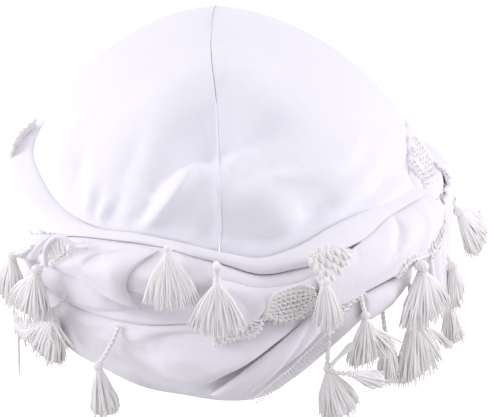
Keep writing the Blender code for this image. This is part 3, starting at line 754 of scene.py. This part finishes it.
def rolled(distance):
    """How much of the swath's thickness is lost towards a turned edge, as on a round fold."""
    return 1 - np.sqrt(np.maximum(1 - np.clip(1 - distance / EDGE_ROLL, 0, 1) ** 2, 0))


for name, rows, folds, columns, cells, lumps, depth, hangs, node in (
    ("left_swath", LEFT_SWATH, LEFT_FOLDS, 150, 52, 0, 0, 0, "left_swath"),
    ("right_swath", RIGHT_SWATH, RIGHT_FOLDS, 190, 56, 0, 0, 0, "right_swath"),
    ("centre_flap", CENTRE_FLAP, FLAP_FOLDS, 100, 60, 0, 0, 0, "centre_flap"),
    ("right_fold", RIGHT_FOLD, CORNER_FOLDS, 70, 50, 0, 0, 0, "right_fold"),
    ("lower_swath", LOWER_SWATH, LOWER_SWATH_FOLDS, 110, 50, 0, 0, 0, "lower_swath"),
    ("back_layer", BACK_LAYER, BACK_FOLDS, 120, 60, 0, 0, 0, "back_layer"),
    ("temple_layer", TEMPLE_LAYER, TEMPLE_FOLDS, 170, 70, 6, 1.2, 1, None),
    ("hanging_layer", HANGING_LAYER, HANGING_FOLDS, 130, 90, 5, 1.8, 1, None),
    ("hem_pleats", HEM_PLEATS, (), 120, 60, 4, 0.9, 0, None),
):
    bpy.ops.mesh.primitive_grid_add(x_subdivisions=columns, y_subdivisions=cells, size=2)
    cloth = bpy.context.object
    grid = get_points(cloth)
    along, down = (grid[:, 0] + 1) / 2, (1 - grid[:, 1]) / 2
    steps = np.arange(len(rows))
    here = Across(*(follow(steps, column, along * (len(rows) - 1)) for column in zip(*rows)))
    azimuth = here.top_azimuth + (here.bottom_azimuth - here.top_azimuth) * down
    azimuth = azimuth + here.bow * 4 * down * (1 - down)
    height = here.top_height + (here.bottom_height - here.top_height) * down
    top = place(here.top_azimuth, here.top_height, MEASURED_LIFT)
    bottom = place(here.bottom_azimuth, here.bottom_height, MEASURED_LIFT)
    breadth = np.linalg.norm(top - bottom, axis=1)
    corners = place([r.top_azimuth for r in rows], [r.top_height for r in rows], MEASURED_LIFT)
    span = np.linalg.norm(np.diff(corners, axis=0), axis=1).sum()
    edge = rolled(breadth * np.minimum(down, 1 - down))
    end = rolled(span * np.minimum(along, 1 - along))
    under = HUNG_LIFT if hangs else envelope(azimuth, height)
    lift = under + LAYER_GAP + SWATH_THICKNESS * (1 - np.maximum(edge, end))
    lift += here.top_lift + (here.bottom_lift - here.top_lift) * down + here.camber * np.sin(np.pi * down)
    lift += relief(folds, place(azimuth, height, 0)) * (1 - edge)
    lift += depth * np.abs(np.sin(np.pi * (lumps * along + 0.3 * np.sin(3.1 * down)))) ** 0.8 * (1 - end)
    height = height + 0.4 * depth * np.sin(2 * np.pi * lumps * along) * (1 - down)
    set_points(cloth, place(azimuth, height, lift))
    set_cloth_map(cloth, span * along, breadth * down)
    apply_modifier(cloth, "Cloth", "SOLIDIFY", thickness=CLOTH_THICKNESS * MM, offset=-1.0)
    finish_cloth(cloth, f"cotton_{name}", *([node] if node else []))


# Yarn: soft cotton spun in two plies, left undyed next to the bleached cloth and so a little warmer.
# One yarn is 0.7 mm thick, and the fine plies of it are left to the bump.
YARN_RADIUS = 0.36
yarn = new_cotton("yarn, soft two-ply cotton", 0.9, 0.45, "#F7F5EF", "#FFFEFB", 900.0, 3.0, 0.5, 0.0002)[0]


# Nets: the fringe along the scarf's edges, knotted and looped by hand in the same yarn. One patch hangs
# over the right swath, one bridges the hem on the left, and one is worked into the brow flap's edge.
PLY_RADIUS, PLY_PITCH = 0.6, 4.2
NET_TOP = ((19.6, 71.8, 20), (21.5, 73.2, 20), (23.3, 73.8, 20), (25.5, 73.4, 20), (27.9, 72.4, 20))
NET_SIDE = ((27.9, 72.4, 20), (28.6, 69.5, 20.5), (27.4, 66.5, 21), (25.6, 64.0, 22))
NET_STRANDS = (
    ((19.6, 71.2, 20.4), (22.0, 63.0, 22.6)),
    ((19.7, 72.2, 20), (24.2, 62.8, 22.8)),
    ((21.0, 73.2, 20), (26.2, 64.6, 22.0)),
    ((22.8, 73.6, 20), (27.7, 66.8, 21.4)),
    ((24.8, 73.6, 20), (28.7, 69.2, 20.8)),
    ((26.6, 73.0, 20), (29.0, 71.2, 20.4)),
)
RIGHT_EDGING = (
    (69, 64.0, 13.5), (67.5, 60.0, 17.0), (65.0, 56.5, 19.0), (61.0, 53.4, 20.0), (56.0, 51.2, 20.0),
)
TEMPLE_BAND_FRONT = ((73, 76.0, 3.0), (71.5, 70.0, 6.2), (70.2, 64.0, 9.4), (69.4, 58.0, 12.4))
TEMPLE_BAND_BACK = ((87, 77.0, 3.0), (86, 69.0, 5.4), (84.5, 61.0, 8.8), (81.5, 54.0, 12.6))
TEMPLE_CORD = ((93, 61.0, 9.0), (92, 57.0, 12.5), (90.5, 53.0, 16.0), (89.5, 48.5, 17.6), (88.0, 44.5, 18.0))
HEM_TUFT = ((43.6, 50.6, 19), (45.2, 54.4, 20), (48.1, 55.4, 20), (51.2, 54.4, 20), (55.0, 52.2, 19.5))
LEFT_EDGING = (
    (-106, 68.8, 6), (-102, 69.4, 7), (-98, 70.0, 8),
    (-94, 70.6, 9), (-90, 70.8, 10), (-86.5, 70.4, 10.5),
)
LOW_TUFT = (
    (-67.4, 11.2, 19), (-62.0, 12.0, 19.5), (-57.0, 15.5, 19.5), (-51.0, 21.0, 19.5), (-47.0, 27.5, 18.5),
)
LENS_HEM = (
    (-45.0, 55.2, 20), (-45.0, 60.1, 20), (-44.2, 64.7, 20), (-42.0, 69.8, 19), (-40.0, 70.2, 18),
    (-38.3, 68.8, 17), (-36.4, 67.8, 16), (-33.8, 69.2, 15),
)
LENS_FOOT = ((-44.1, 57.3, 19), (-41.9, 60.7, 18), (-39.0, 65.2, 17), (-35.6, 68.2, 15))
FLAP_LACE_TOP = ((9.5, 49.5, 16), (11.2, 57.2, 17), (15.2, 59.8, 17), (18.3, 59.8, 17), (21.2, 57.4, 17))
FLAP_LACE_FOOT = ((9.6, 48.6, 16), (12.2, 45.8, 16), (14.8, 45.1, 16), (17.9, 46.0, 16), (21.4, 50.7, 17))
FLAP_EDGE = ((8.8, 46.9, 16), (7.9, 42.1, 17), (5.8, 39.7, 17), (2.1, 39.0, 17), (-1.6, 35.4, 17))
chance = np.random.default_rng(16)


def run_over(rows, count):
    """Points, in millimetres, along a smooth line through rows of azimuth, height and lift."""
    rows = np.asarray(rows, float)
    at = np.linspace(0, len(rows) - 1, count)
    return place(*(follow(np.arange(len(rows)), column, at) for column in rows.T))


def frames(line):
    """How far along a line its points are, its direction there, and the ways across and out."""
    steps = np.linalg.norm(np.diff(line, axis=0), axis=1)
    along = np.gradient(line, axis=0)
    along /= np.linalg.norm(along, axis=1, keepdims=True)
    out = outward(line)
    across = np.cross(along, out)
    across /= np.linalg.norm(across, axis=1, keepdims=True)
    return np.concatenate(((0,), np.cumsum(steps))), along, across, np.cross(across, along)


def two_ply(line, radius=PLY_RADIUS):
    """Paths of the two plies of a twisted cord that follows a line."""
    line = np.asarray(line, float)
    way = np.gradient(line, axis=0)
    way /= np.linalg.norm(way, axis=1, keepdims=True)
    side = np.cross(way, (0.31, 0.2, 0.9))
    side /= np.linalg.norm(side, axis=1, keepdims=True)
    far = np.concatenate(((0,), np.cumsum(np.linalg.norm(np.diff(line, axis=0), axis=1))))
    turn = (2 * np.pi * far / PLY_PITCH * PLY_RADIUS / radius)[:, None]
    both = (np.cos(turn) * side + np.sin(turn) * np.cross(way, side)) * radius * 0.85
    return [line + both, line - both]


def slack(start, end, sag, count=9):
    """A line between two points that sags a little."""
    share = np.linspace(0, 1, count)[:, None]
    return start + (end - start) * share + np.array((0, 0, -sag)) * np.sin(np.pi * share)


def loops(line, reach, pitch, start=0.0):
    """A chain of crochet loops worked along a line, each one swinging out across it and back over itself."""
    far, along, across, out = frames(line)
    count = max(8, int(far[-1] / pitch * 14))
    at = np.linspace(0, far[-1], count)

    def column(values):
        return np.stack([np.interp(at, far, values[:, i]) for i in range(3)], axis=-1)

    turn = 2 * np.pi * at / pitch + start
    size = 1 + 0.3 * np.sin(at * 1.7 + start) + 0.15 * np.sin(at * 4.1)
    swing = reach * size * (0.5 - 0.5 * np.cos(turn))
    return (
        column(line)
        + column(across) * swing[:, None]
        + column(along) * (0.45 * pitch * np.sin(turn))[:, None]
        + column(out) * (0.45 * np.sin(turn + 0.8))[:, None]
    )


def worked(foot, top, rows, reach, pitch):
    """Rows of crochet loops that fill the patch between two lines."""
    return [
        loops(foot + (top - foot) * share, reach, pitch, start=1.9 * number)
        for number, share in enumerate(np.linspace(0, 1, rows))
    ]


def join_yarn(name, parts, *nodes):
    """One named piece out of several meshes of yarn."""
    bpy.ops.object.select_all(action="DESELECT")
    for part in parts:
        part.select_set(True)
    bpy.context.view_layer.objects.active = parts[0]
    bpy.ops.object.join()
    piece = bpy.context.object
    piece.name = piece.data.name = name
    piece.data.materials.append(yarn)
    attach(piece, "root")
    if nodes:
        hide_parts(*nodes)


strands = []
for start, end in NET_STRANDS:
    strand = slack(place(*start), place(*end), 0.3, 25)
    strand = strand + 0.8 * np.sin(np.pi * np.linspace(0, 1, 25))[:, None] * outward(strand)
    strands += two_ply(strand, 0.9)
over = run_over(NET_TOP, 50)
join_yarn(
    "yarn_net_right",
    [
        tube("strands", strands, 0.78, sides=3),
        tube("top loops", [loops(over, -1.8, 3.1), loops(over, -1.2, 2.3, 1.3)], 0.42),
        tube("short ends", [loops(run_over(NET_SIDE, 40), 2.4, 2.6)], 0.4),
    ],
    "net_right",
)

hem, foot = run_over(LENS_HEM, 61), run_over(LENS_FOOT, 40)
threads = []
for share in np.linspace(0.02, 0.98, 15):
    start = hem[int((0.12 + 0.8 * share) * 60)]
    end = foot[int(share * 39)] + chance.normal(0, 0.5, 3)
    threads.append(slack(start, end, chance.uniform(-0.6, 0.6)))
    beside = start + chance.normal(0, 0.6, 3)
    beyond = end + chance.normal(0, 0.5, 3)
    threads.append(slack(beside, beyond, chance.uniform(-0.6, 0.6)))
join_yarn(
    "yarn_net_left",
    [
        tube("threads", threads, 0.34),
        tube("worked edge", [loops(run_over(LENS_FOOT, 60), 1.2, 1.9)], 0.36),
    ],
    "net_left",
)

# Each chain's reach and pitch, as shares of its edging's, and where its first loop starts
CHAINS = ((1, 1, 0), (-1, 1.1, 1.4), (0.6, 0.7, 2.6), (-0.7, 0.8, 0.7), (1.4, 1.3, 2.0))
for name, rows, reach, pitch in (
    ("right_edging", RIGHT_EDGING, 2.4, 2.0),
    ("temple_cord", TEMPLE_CORD, 4.0, 2.4),
    ("hem_tuft", HEM_TUFT, 2.2, 2.2),
    ("left_edging", LEFT_EDGING, 2.2, 2.1),
    ("low_tuft", LOW_TUFT, 4.0, 1.8),
):
    over = run_over(rows, 80)
    chains = [loops(over, reach * across, pitch * gap, start) for across, gap, start in CHAINS]
    join_yarn(f"yarn_{name}", [tube("chains", chains, 0.36)])

front, back = run_over(TEMPLE_BAND_FRONT, 60), run_over(TEMPLE_BAND_BACK, 60)
join_yarn("yarn_temple_band", [tube("rows", worked(front, back, 7, 2.0, 2.1), 0.42)])
lens = run_over(LENS_HEM, 60)
finish_cloth(tube("lens hem", [lens], 1.1, sides=4), "cotton_lens_hem")

top, foot = run_over(FLAP_LACE_TOP, 40), run_over(FLAP_LACE_FOOT, 40)
edge = run_over(FLAP_EDGE, 60)
join_yarn(
    "yarn_net_centre",
    [
        tube("lace", worked(foot, top, 8, 1.8, 2.1), 0.4),
        tube("lace edge", [loops(top, 1.5, 1.8), loops(foot, -1.5, 1.8)], 0.42),
        tube(
            "flap edge",
            [loops(edge, 2.2, 2.1), loops(edge, 3.0, 2.7, 1.1), loops(edge, -1.2, 1.9, 2.0)],
            0.38,
        ),
    ],
    "net_centre",
)


# Tassels: lengths of yarn doubled over a cord and bound below the fold, so that they hang as a loose
# skirt of locks. Each cord is two plies twisted together and leaves the edge of the cloth it trims.
Tassel = namedtuple(
    "Tassel",
    "cord_azimuth cord_height cord_lift azimuth height lift tip_azimuth tip_height tip_lift "
    "head neck width depth yarns",
)
TASSELS = (
    Tassel(-51.5, 58.5, 18, -56.5, 51.5, 22.6, -60, 28, 22, 1.0, 3, 20, 9, 30),
    Tassel(-45.8, 56, 19, -46.2, 53.5, 23, -48.6, 33, 25.5, 1.1, 3, 22, 9, 34),
    Tassel(-43, 42, 13, -45.4, 33, 17, -51.6, 8, 17, 1.0, 3, 19, 9, 30),
    Tassel(-27.2, 35.2, 12, -31.1, 18.1, 19.6, -31.3, -5.9, 16.5, 1.0, 3, 12, 9, 24),
    Tassel(-14, 72.5, 8, -13.5, 74.5, 13.5, -11.8, 51.5, 18.5, 0.8, 2, 22, 6, 34),
    Tassel(-2, 69, 10, -1.4, 71, 18.5, -1.4, 43, 21.5, 0.85, 7.5, 22, 6, 32),
    Tassel(22.5, 65.5, 21, 22.0, 63.0, 23.3, 23.2, 42.5, 23.9, 1.0, 2.5, 11, 7, 24),
    Tassel(26, 33, 15, 24.9, 20, 19, 30.4, -5, 17.5, 0.8, 2.5, 17, 9, 30),
    Tassel(33.5, 49.8, 17, 32.8, 42, 22.8, 35.6, 17.8, 19.5, 0.9, 3, 17, 8, 28),
    Tassel(47, 31.5, 8, 45.8, 19, 13.6, 48, -3, 15, 0.9, 3, 11, 8, 20),
    Tassel(50, 43, 17, 50.5, 29.7, 20.5, 56.2, -4, 20.5, 1.1, 3, 26, 10, 32),
    Tassel(51, 53.5, 18, 49, 53, 24, 49.6, 29, 27.6, 1.4, 3, 29, 9, 38),
    Tassel(72, 46, 13, 71.5, 32.5, 21, 78.5, 9.5, 22, 1.0, 3, 15, 9, 24),
    Tassel(83, 21, 15, 83, 4.5, 20.5, 84.5, -16, 24, 1.0, 3, 15, 9, 24),
    Tassel(86, 50, 16, 87, 43, 19.5, 91, 26.5, 30.5, 1.1, 3, 25, 10, 30),
    Tassel(25.6, 19.4, 20, 29.2, 18, 24.5, 37, 10.8, 28, 0.7, 2, 7, 6, 14),
)

CORE_HEAD, CORE_FILL, CORD_SAG, CORD_STEP = 0.85, 0.44, 0.08, 0.7

# Locks that swing away from their tassel, from where each starts to where it ends and spreads
Lock = namedtuple("Lock", "tassel azimuth height lift tip_azimuth tip_height tip_lift spread yarns")
LOCKS = (
    Lock(9, 33.4, 37.5, 23.0, 41.5, 21.5, 25.5, 7.0, 26),
    Lock(9, 33.2, 36.5, 23.0, 38.0, 21.0, 23.5, 5.0, 14),
    Lock(8, 25.1, 21.0, 20.5, 30.0, 30.5, 22.5, 2.4, 22),
    Lock(11, 51.5, 24.0, 23.5, 59.6, -1.5, 25.0, 7.0, 30),
    Lock(11, 53.0, 22.0, 24.0, 67.0, -1.0, 27.0, 5.0, 24),
    Lock(12, 49.5, 50.0, 24.5, 44.5, 38.0, 25.5, 5.0, 14),
    Lock(3, -46.5, 30.0, 18.5, -41.0, 20.0, 18.0, 5.0, 12),
    Lock(1, -62.4, 11.0, 20.0, -64.6, -12.8, 20.4, 0.5, 2),
    Lock(3, -46.5, 28.0, 17.5, -57.0, 13.0, 18.5, 9.0, 22),
)

for number, row in enumerate(TASSELS, start=1):
    root = place(row.cord_azimuth, row.cord_height, row.cord_lift)
    knot = place(row.azimuth, row.height, row.lift)
    tip = place(row.tip_azimuth, row.tip_height, row.tip_lift)
    fall = (tip - knot) / np.linalg.norm(tip - knot)
    out = np.array((knot[0], knot[1], 0.0))
    out -= fall * out.dot(fall)
    out /= np.linalg.norm(out)
    side = np.cross(fall, out)
    tie = knot + fall * row.neck
    girth = 1.5 * row.head
    share = np.linspace(0, 1, 13)[:, None]
    skirt, folds = [], []
    for reach, strands in ((1.0, row.yarns), (0.86, row.yarns), (0.5, row.yarns // 2)):
        for strand in range(strands):
            turn = 2 * np.pi * (strand + chance.uniform(-0.4, 0.4)) / strands
            ring, depth = side * math.cos(turn), out * math.sin(turn)
            end = tip + (ring * row.width + depth * row.depth) * reach / 2
            end = end - fall * (chance.uniform(-1.2, 1.6) + 2.8 * reach * math.cos(turn) ** 2)
            start = tie + (ring + depth) * girth * (0.4 + 0.5 * reach)
            bell = (ring * row.width + depth * row.depth) * 0.06 * reach * np.sin(np.pi * share)
            waves, phase = chance.uniform(0.6, 1.6), chance.uniform(0, 2 * np.pi, 2)
            sway = side * np.sin(2 * np.pi * waves * share + phase[0])
            sway = sway + out * np.sin(2 * np.pi * waves * share + phase[1])
            sway = chance.uniform(0.15, 0.55) * share * sway
            path = start + (end - start) * share + bell + sway
            head = knot + (ring + depth) * girth * 1.05
            for apart in (-1, 1):
                twin = side * chance.normal(0.22, 0.06) + out * chance.normal(0, 0.2)
                twin = twin * apart * (0.8 + share**3 * 1.6)
                skirt.append(np.vstack((head, (path[0] + knot) / 2, path + twin)))
    for lock in [lock for lock in LOCKS if lock.tassel == number]:
        start = place(lock.azimuth, lock.height, lock.lift)
        end = place(lock.tip_azimuth, lock.tip_height, lock.tip_lift)
        for _ in range(lock.yarns):
            aside = chance.normal(0, 0.3, 3)
            path = slack(start + aside, end + chance.normal(0, 0.5, 3) * lock.spread / 2, -0.6, 13)
            wave = np.sin(2 * np.pi * (share * chance.uniform(0.5, 1.4) + aside[0]))
            skirt.append(path + 0.3 * wave * side)
    for turn in np.linspace(0, np.pi, 7, endpoint=False):
        around = side * math.cos(turn) + out * math.sin(turn)
        over = np.linspace(-0.2, np.pi + 0.2, 13)[:, None]
        folds.append(knot + girth * 1.15 * (around * np.cos(over) - fall * np.sin(over) * 0.9))
    bpy.ops.mesh.primitive_uv_sphere_add(segments=24, ring_count=20, radius=1.0)
    core = bpy.context.object
    grid = get_points(core)
    turn, down = np.arctan2(grid[:, 1], grid[:, 0])[:, None], ((1 - grid[:, 2]) / 2)[:, None]
    far = np.clip(down / 0.85, 0, 1)
    closing = np.clip(down / 0.04, 0, 1) * np.clip((1 - down) / 0.15, 0, 1)
    near_head = girth * CORE_HEAD
    wide = (near_head + (CORE_FILL * row.width - near_head) * far) * closing
    deep = (near_head + (CORE_FILL * row.depth - near_head) * far) * closing
    set_points(core, tie + (tip - tie) * 0.9 * far + side * wide * np.cos(turn) + out * deep * np.sin(turn))
    core.data.shade_smooth()
    turn = np.linspace(0, 2 * np.pi * 2.6, 40)[:, None]
    binding = tie + fall * np.linspace(-1.1, 0.7, 40)[:, None]
    binding = binding + girth * 0.98 * (side * np.cos(turn) + out * np.sin(turn))
    length = np.linalg.norm(knot - root)
    cord = slack(root, knot - fall * 0.8, CORD_SAG * length, max(9, int(length / CORD_STEP)))
    join_yarn(
        f"yarn_tassel_{number:02d}",
        [
            tube("skirt", skirt, YARN_RADIUS, sides=1, taper=0.45),
            core,
            tube("head", folds, 0.5 * row.head, sides=1),
            tube("binding", [binding], 0.42, sides=1),
            tube("cord", two_ply(cord), PLY_RADIUS, sides=2),
        ],
        f"tassel_{number:02d}",
    )


# Hemstitch: threads drawn out of the lower swath along its edge, so that the ones left bridge an open
# strip like a ladder, and the same hem runs on as loose loops up to the right fold.
LADDER_TOP = (
    (6.4, 7.9, 15), (9.2, 12.8, 16), (12.2, 18.1, 17), (15.8, 22.8, 17),
    (18.9, 27.8, 17), (22.1, 32.2, 17), (24.2, 36.4, 18),
)
LADDER_FOOT = (
    (8.1, 5.0, 12.5), (11.0, 9.0, 14), (14.3, 13.5, 15), (18.1, 18.1, 15),
    (21.3, 23.0, 15), (24.1, 27.5, 15), (26.1, 32.2, 16),
)
HEM_LOOPS = (
    (24.8, 36.1, 18), (26.2, 39.1, 18), (27.7, 43.0, 18),
    (29.8, 46.5, 18), (31.9, 49.0, 18), (34.1, 49.5, 18),
)
LADDER_RUNGS, LADDER_POINTS, RUNG_SINK = 31, 90, 1.6
top, foot = run_over(LADDER_TOP, LADDER_POINTS), run_over(LADDER_FOOT, LADDER_POINTS)
hem_run = run_over(HEM_LOOPS, 60)
rungs = []
for share in np.linspace(0.01, 0.99, LADDER_RUNGS):
    at = int(share * (LADDER_POINTS - 1))
    lean = chance.normal(0, 0.25, 3)
    end = foot[at] - lean - RUNG_SINK * outward(foot[at])
    rungs.append(slack(top[at] + lean, end, chance.uniform(0.2, 0.9), 7))
join_yarn(
    "yarn_hemstitch",
    [
        tube("rungs", rungs, 0.11),
        tube("whipping", [loops(top, 0.7, 1.5), loops(foot, -0.7, 1.5)], 0.18),
        tube("hem loops", [loops(hem_run, 2.2, 2.2), loops(hem_run, -1.6, 2.6, 1.0)], 0.34),
    ],
)


# Cloth: the flat size of each sheet's modelled part, in metres, chosen to match the area of its own
# mesh, and its area where it isn't a rectangle. Cloth: a cut's columns give a sheet, its flat width
# and length in metres, its area where it isn't a rectangle, how it is held, what it lies on and
# which pieces hang from its edges.
Cut = namedtuple("Cut", "sheet width length area held rests_on pieces")


# Stage: a plain white floor well below, as the object is held up at the height of a head. Two large
# panels light its sides, two smaller ones its back, and the room is dimmer in front and below.
FLOOR_DROP = -0.34
bpy.ops.mesh.primitive_plane_add(size=30, location=(0, 0, FLOOR_DROP))
floor = bpy.context.object
floor.name = "floor"
paper = bpy.data.materials.new("studio paper")
paper.use_nodes = True
shader = paper.node_tree.nodes["Principled BSDF"]
shader.inputs["Base Color"].default_value = linear("#FFFFFF")
shader.inputs["Roughness"].default_value = 0.95
shader.inputs["Emission Color"].default_value = linear("#FFFFFF")
shader.inputs["Emission Strength"].default_value = 0.55
floor.data.materials.append(paper)
floor.visible_diffuse = False
floor.visible_shadow = False

for name, place_at, size, power, colour in (
    ("left softbox", (-1.75, -0.35, 0.5), 1.4, 18.0, "#F6F4FF"),
    ("right softbox", (1.75, -0.35, 0.5), 1.4, 16.0, "#F6F4FF"),
    ("left rear softbox", (-1.4, 0.7, 0.9), 0.8, 3.2, "#FFFCF6"),
    ("right rear softbox", (1.4, 0.7, 0.9), 0.8, 3.2, "#FFFCF6"),
):
    lamp = bpy.data.objects.new(name, bpy.data.lights.new(name, "AREA"))
    lamp.data.size = size
    lamp.data.energy = power
    lamp.data.color = linear(colour)[:3]
    lamp.location = place_at
    lamp.rotation_euler = (Vector((0, 0, 0.05)) - Vector(place_at)).to_track_quat("-Z", "Y").to_euler()
    bpy.context.scene.collection.objects.link(lamp)

world = bpy.data.worlds.new("studio")
bpy.context.scene.world = world
world.use_nodes = True
sky = world.node_tree
background = sky.nodes["Background"]
direction = add_node(sky, "ShaderNodeTexCoord", {}, {})
split = add_node(sky, "ShaderNodeSeparateXYZ", {}, {0: (direction, "Generated")})
upness = add_node(sky, "ShaderNodeMapRange", {"From Min": -0.5, "From Max": 0.6}, {"Value": (split, "Z")})
room = add_node(
    sky,
    "ShaderNodeMix",
    {"data_type": "RGBA", 6: (0.54, 0.52, 0.55, 1), 7: (0.76, 0.74, 0.82, 1)},
    {0: (upness, "Result")},
)
frontness = add_node(sky, "ShaderNodeMapRange", {"From Min": 0.1, "From Max": -0.9}, {"Value": (split, "Y")})
dim_front = add_node(
    sky,
    "ShaderNodeMix",
    {"data_type": "RGBA", "blend_type": "MULTIPLY", 7: (0.84, 0.84, 0.85, 1)},
    {0: (frontness, "Result"), 6: (room, 2)},
)
sky.links.new(dim_front.outputs[2], background.inputs["Color"])
background.inputs["Strength"].default_value = 1.0

bpy.context.scene.view_settings.view_transform = "Standard"
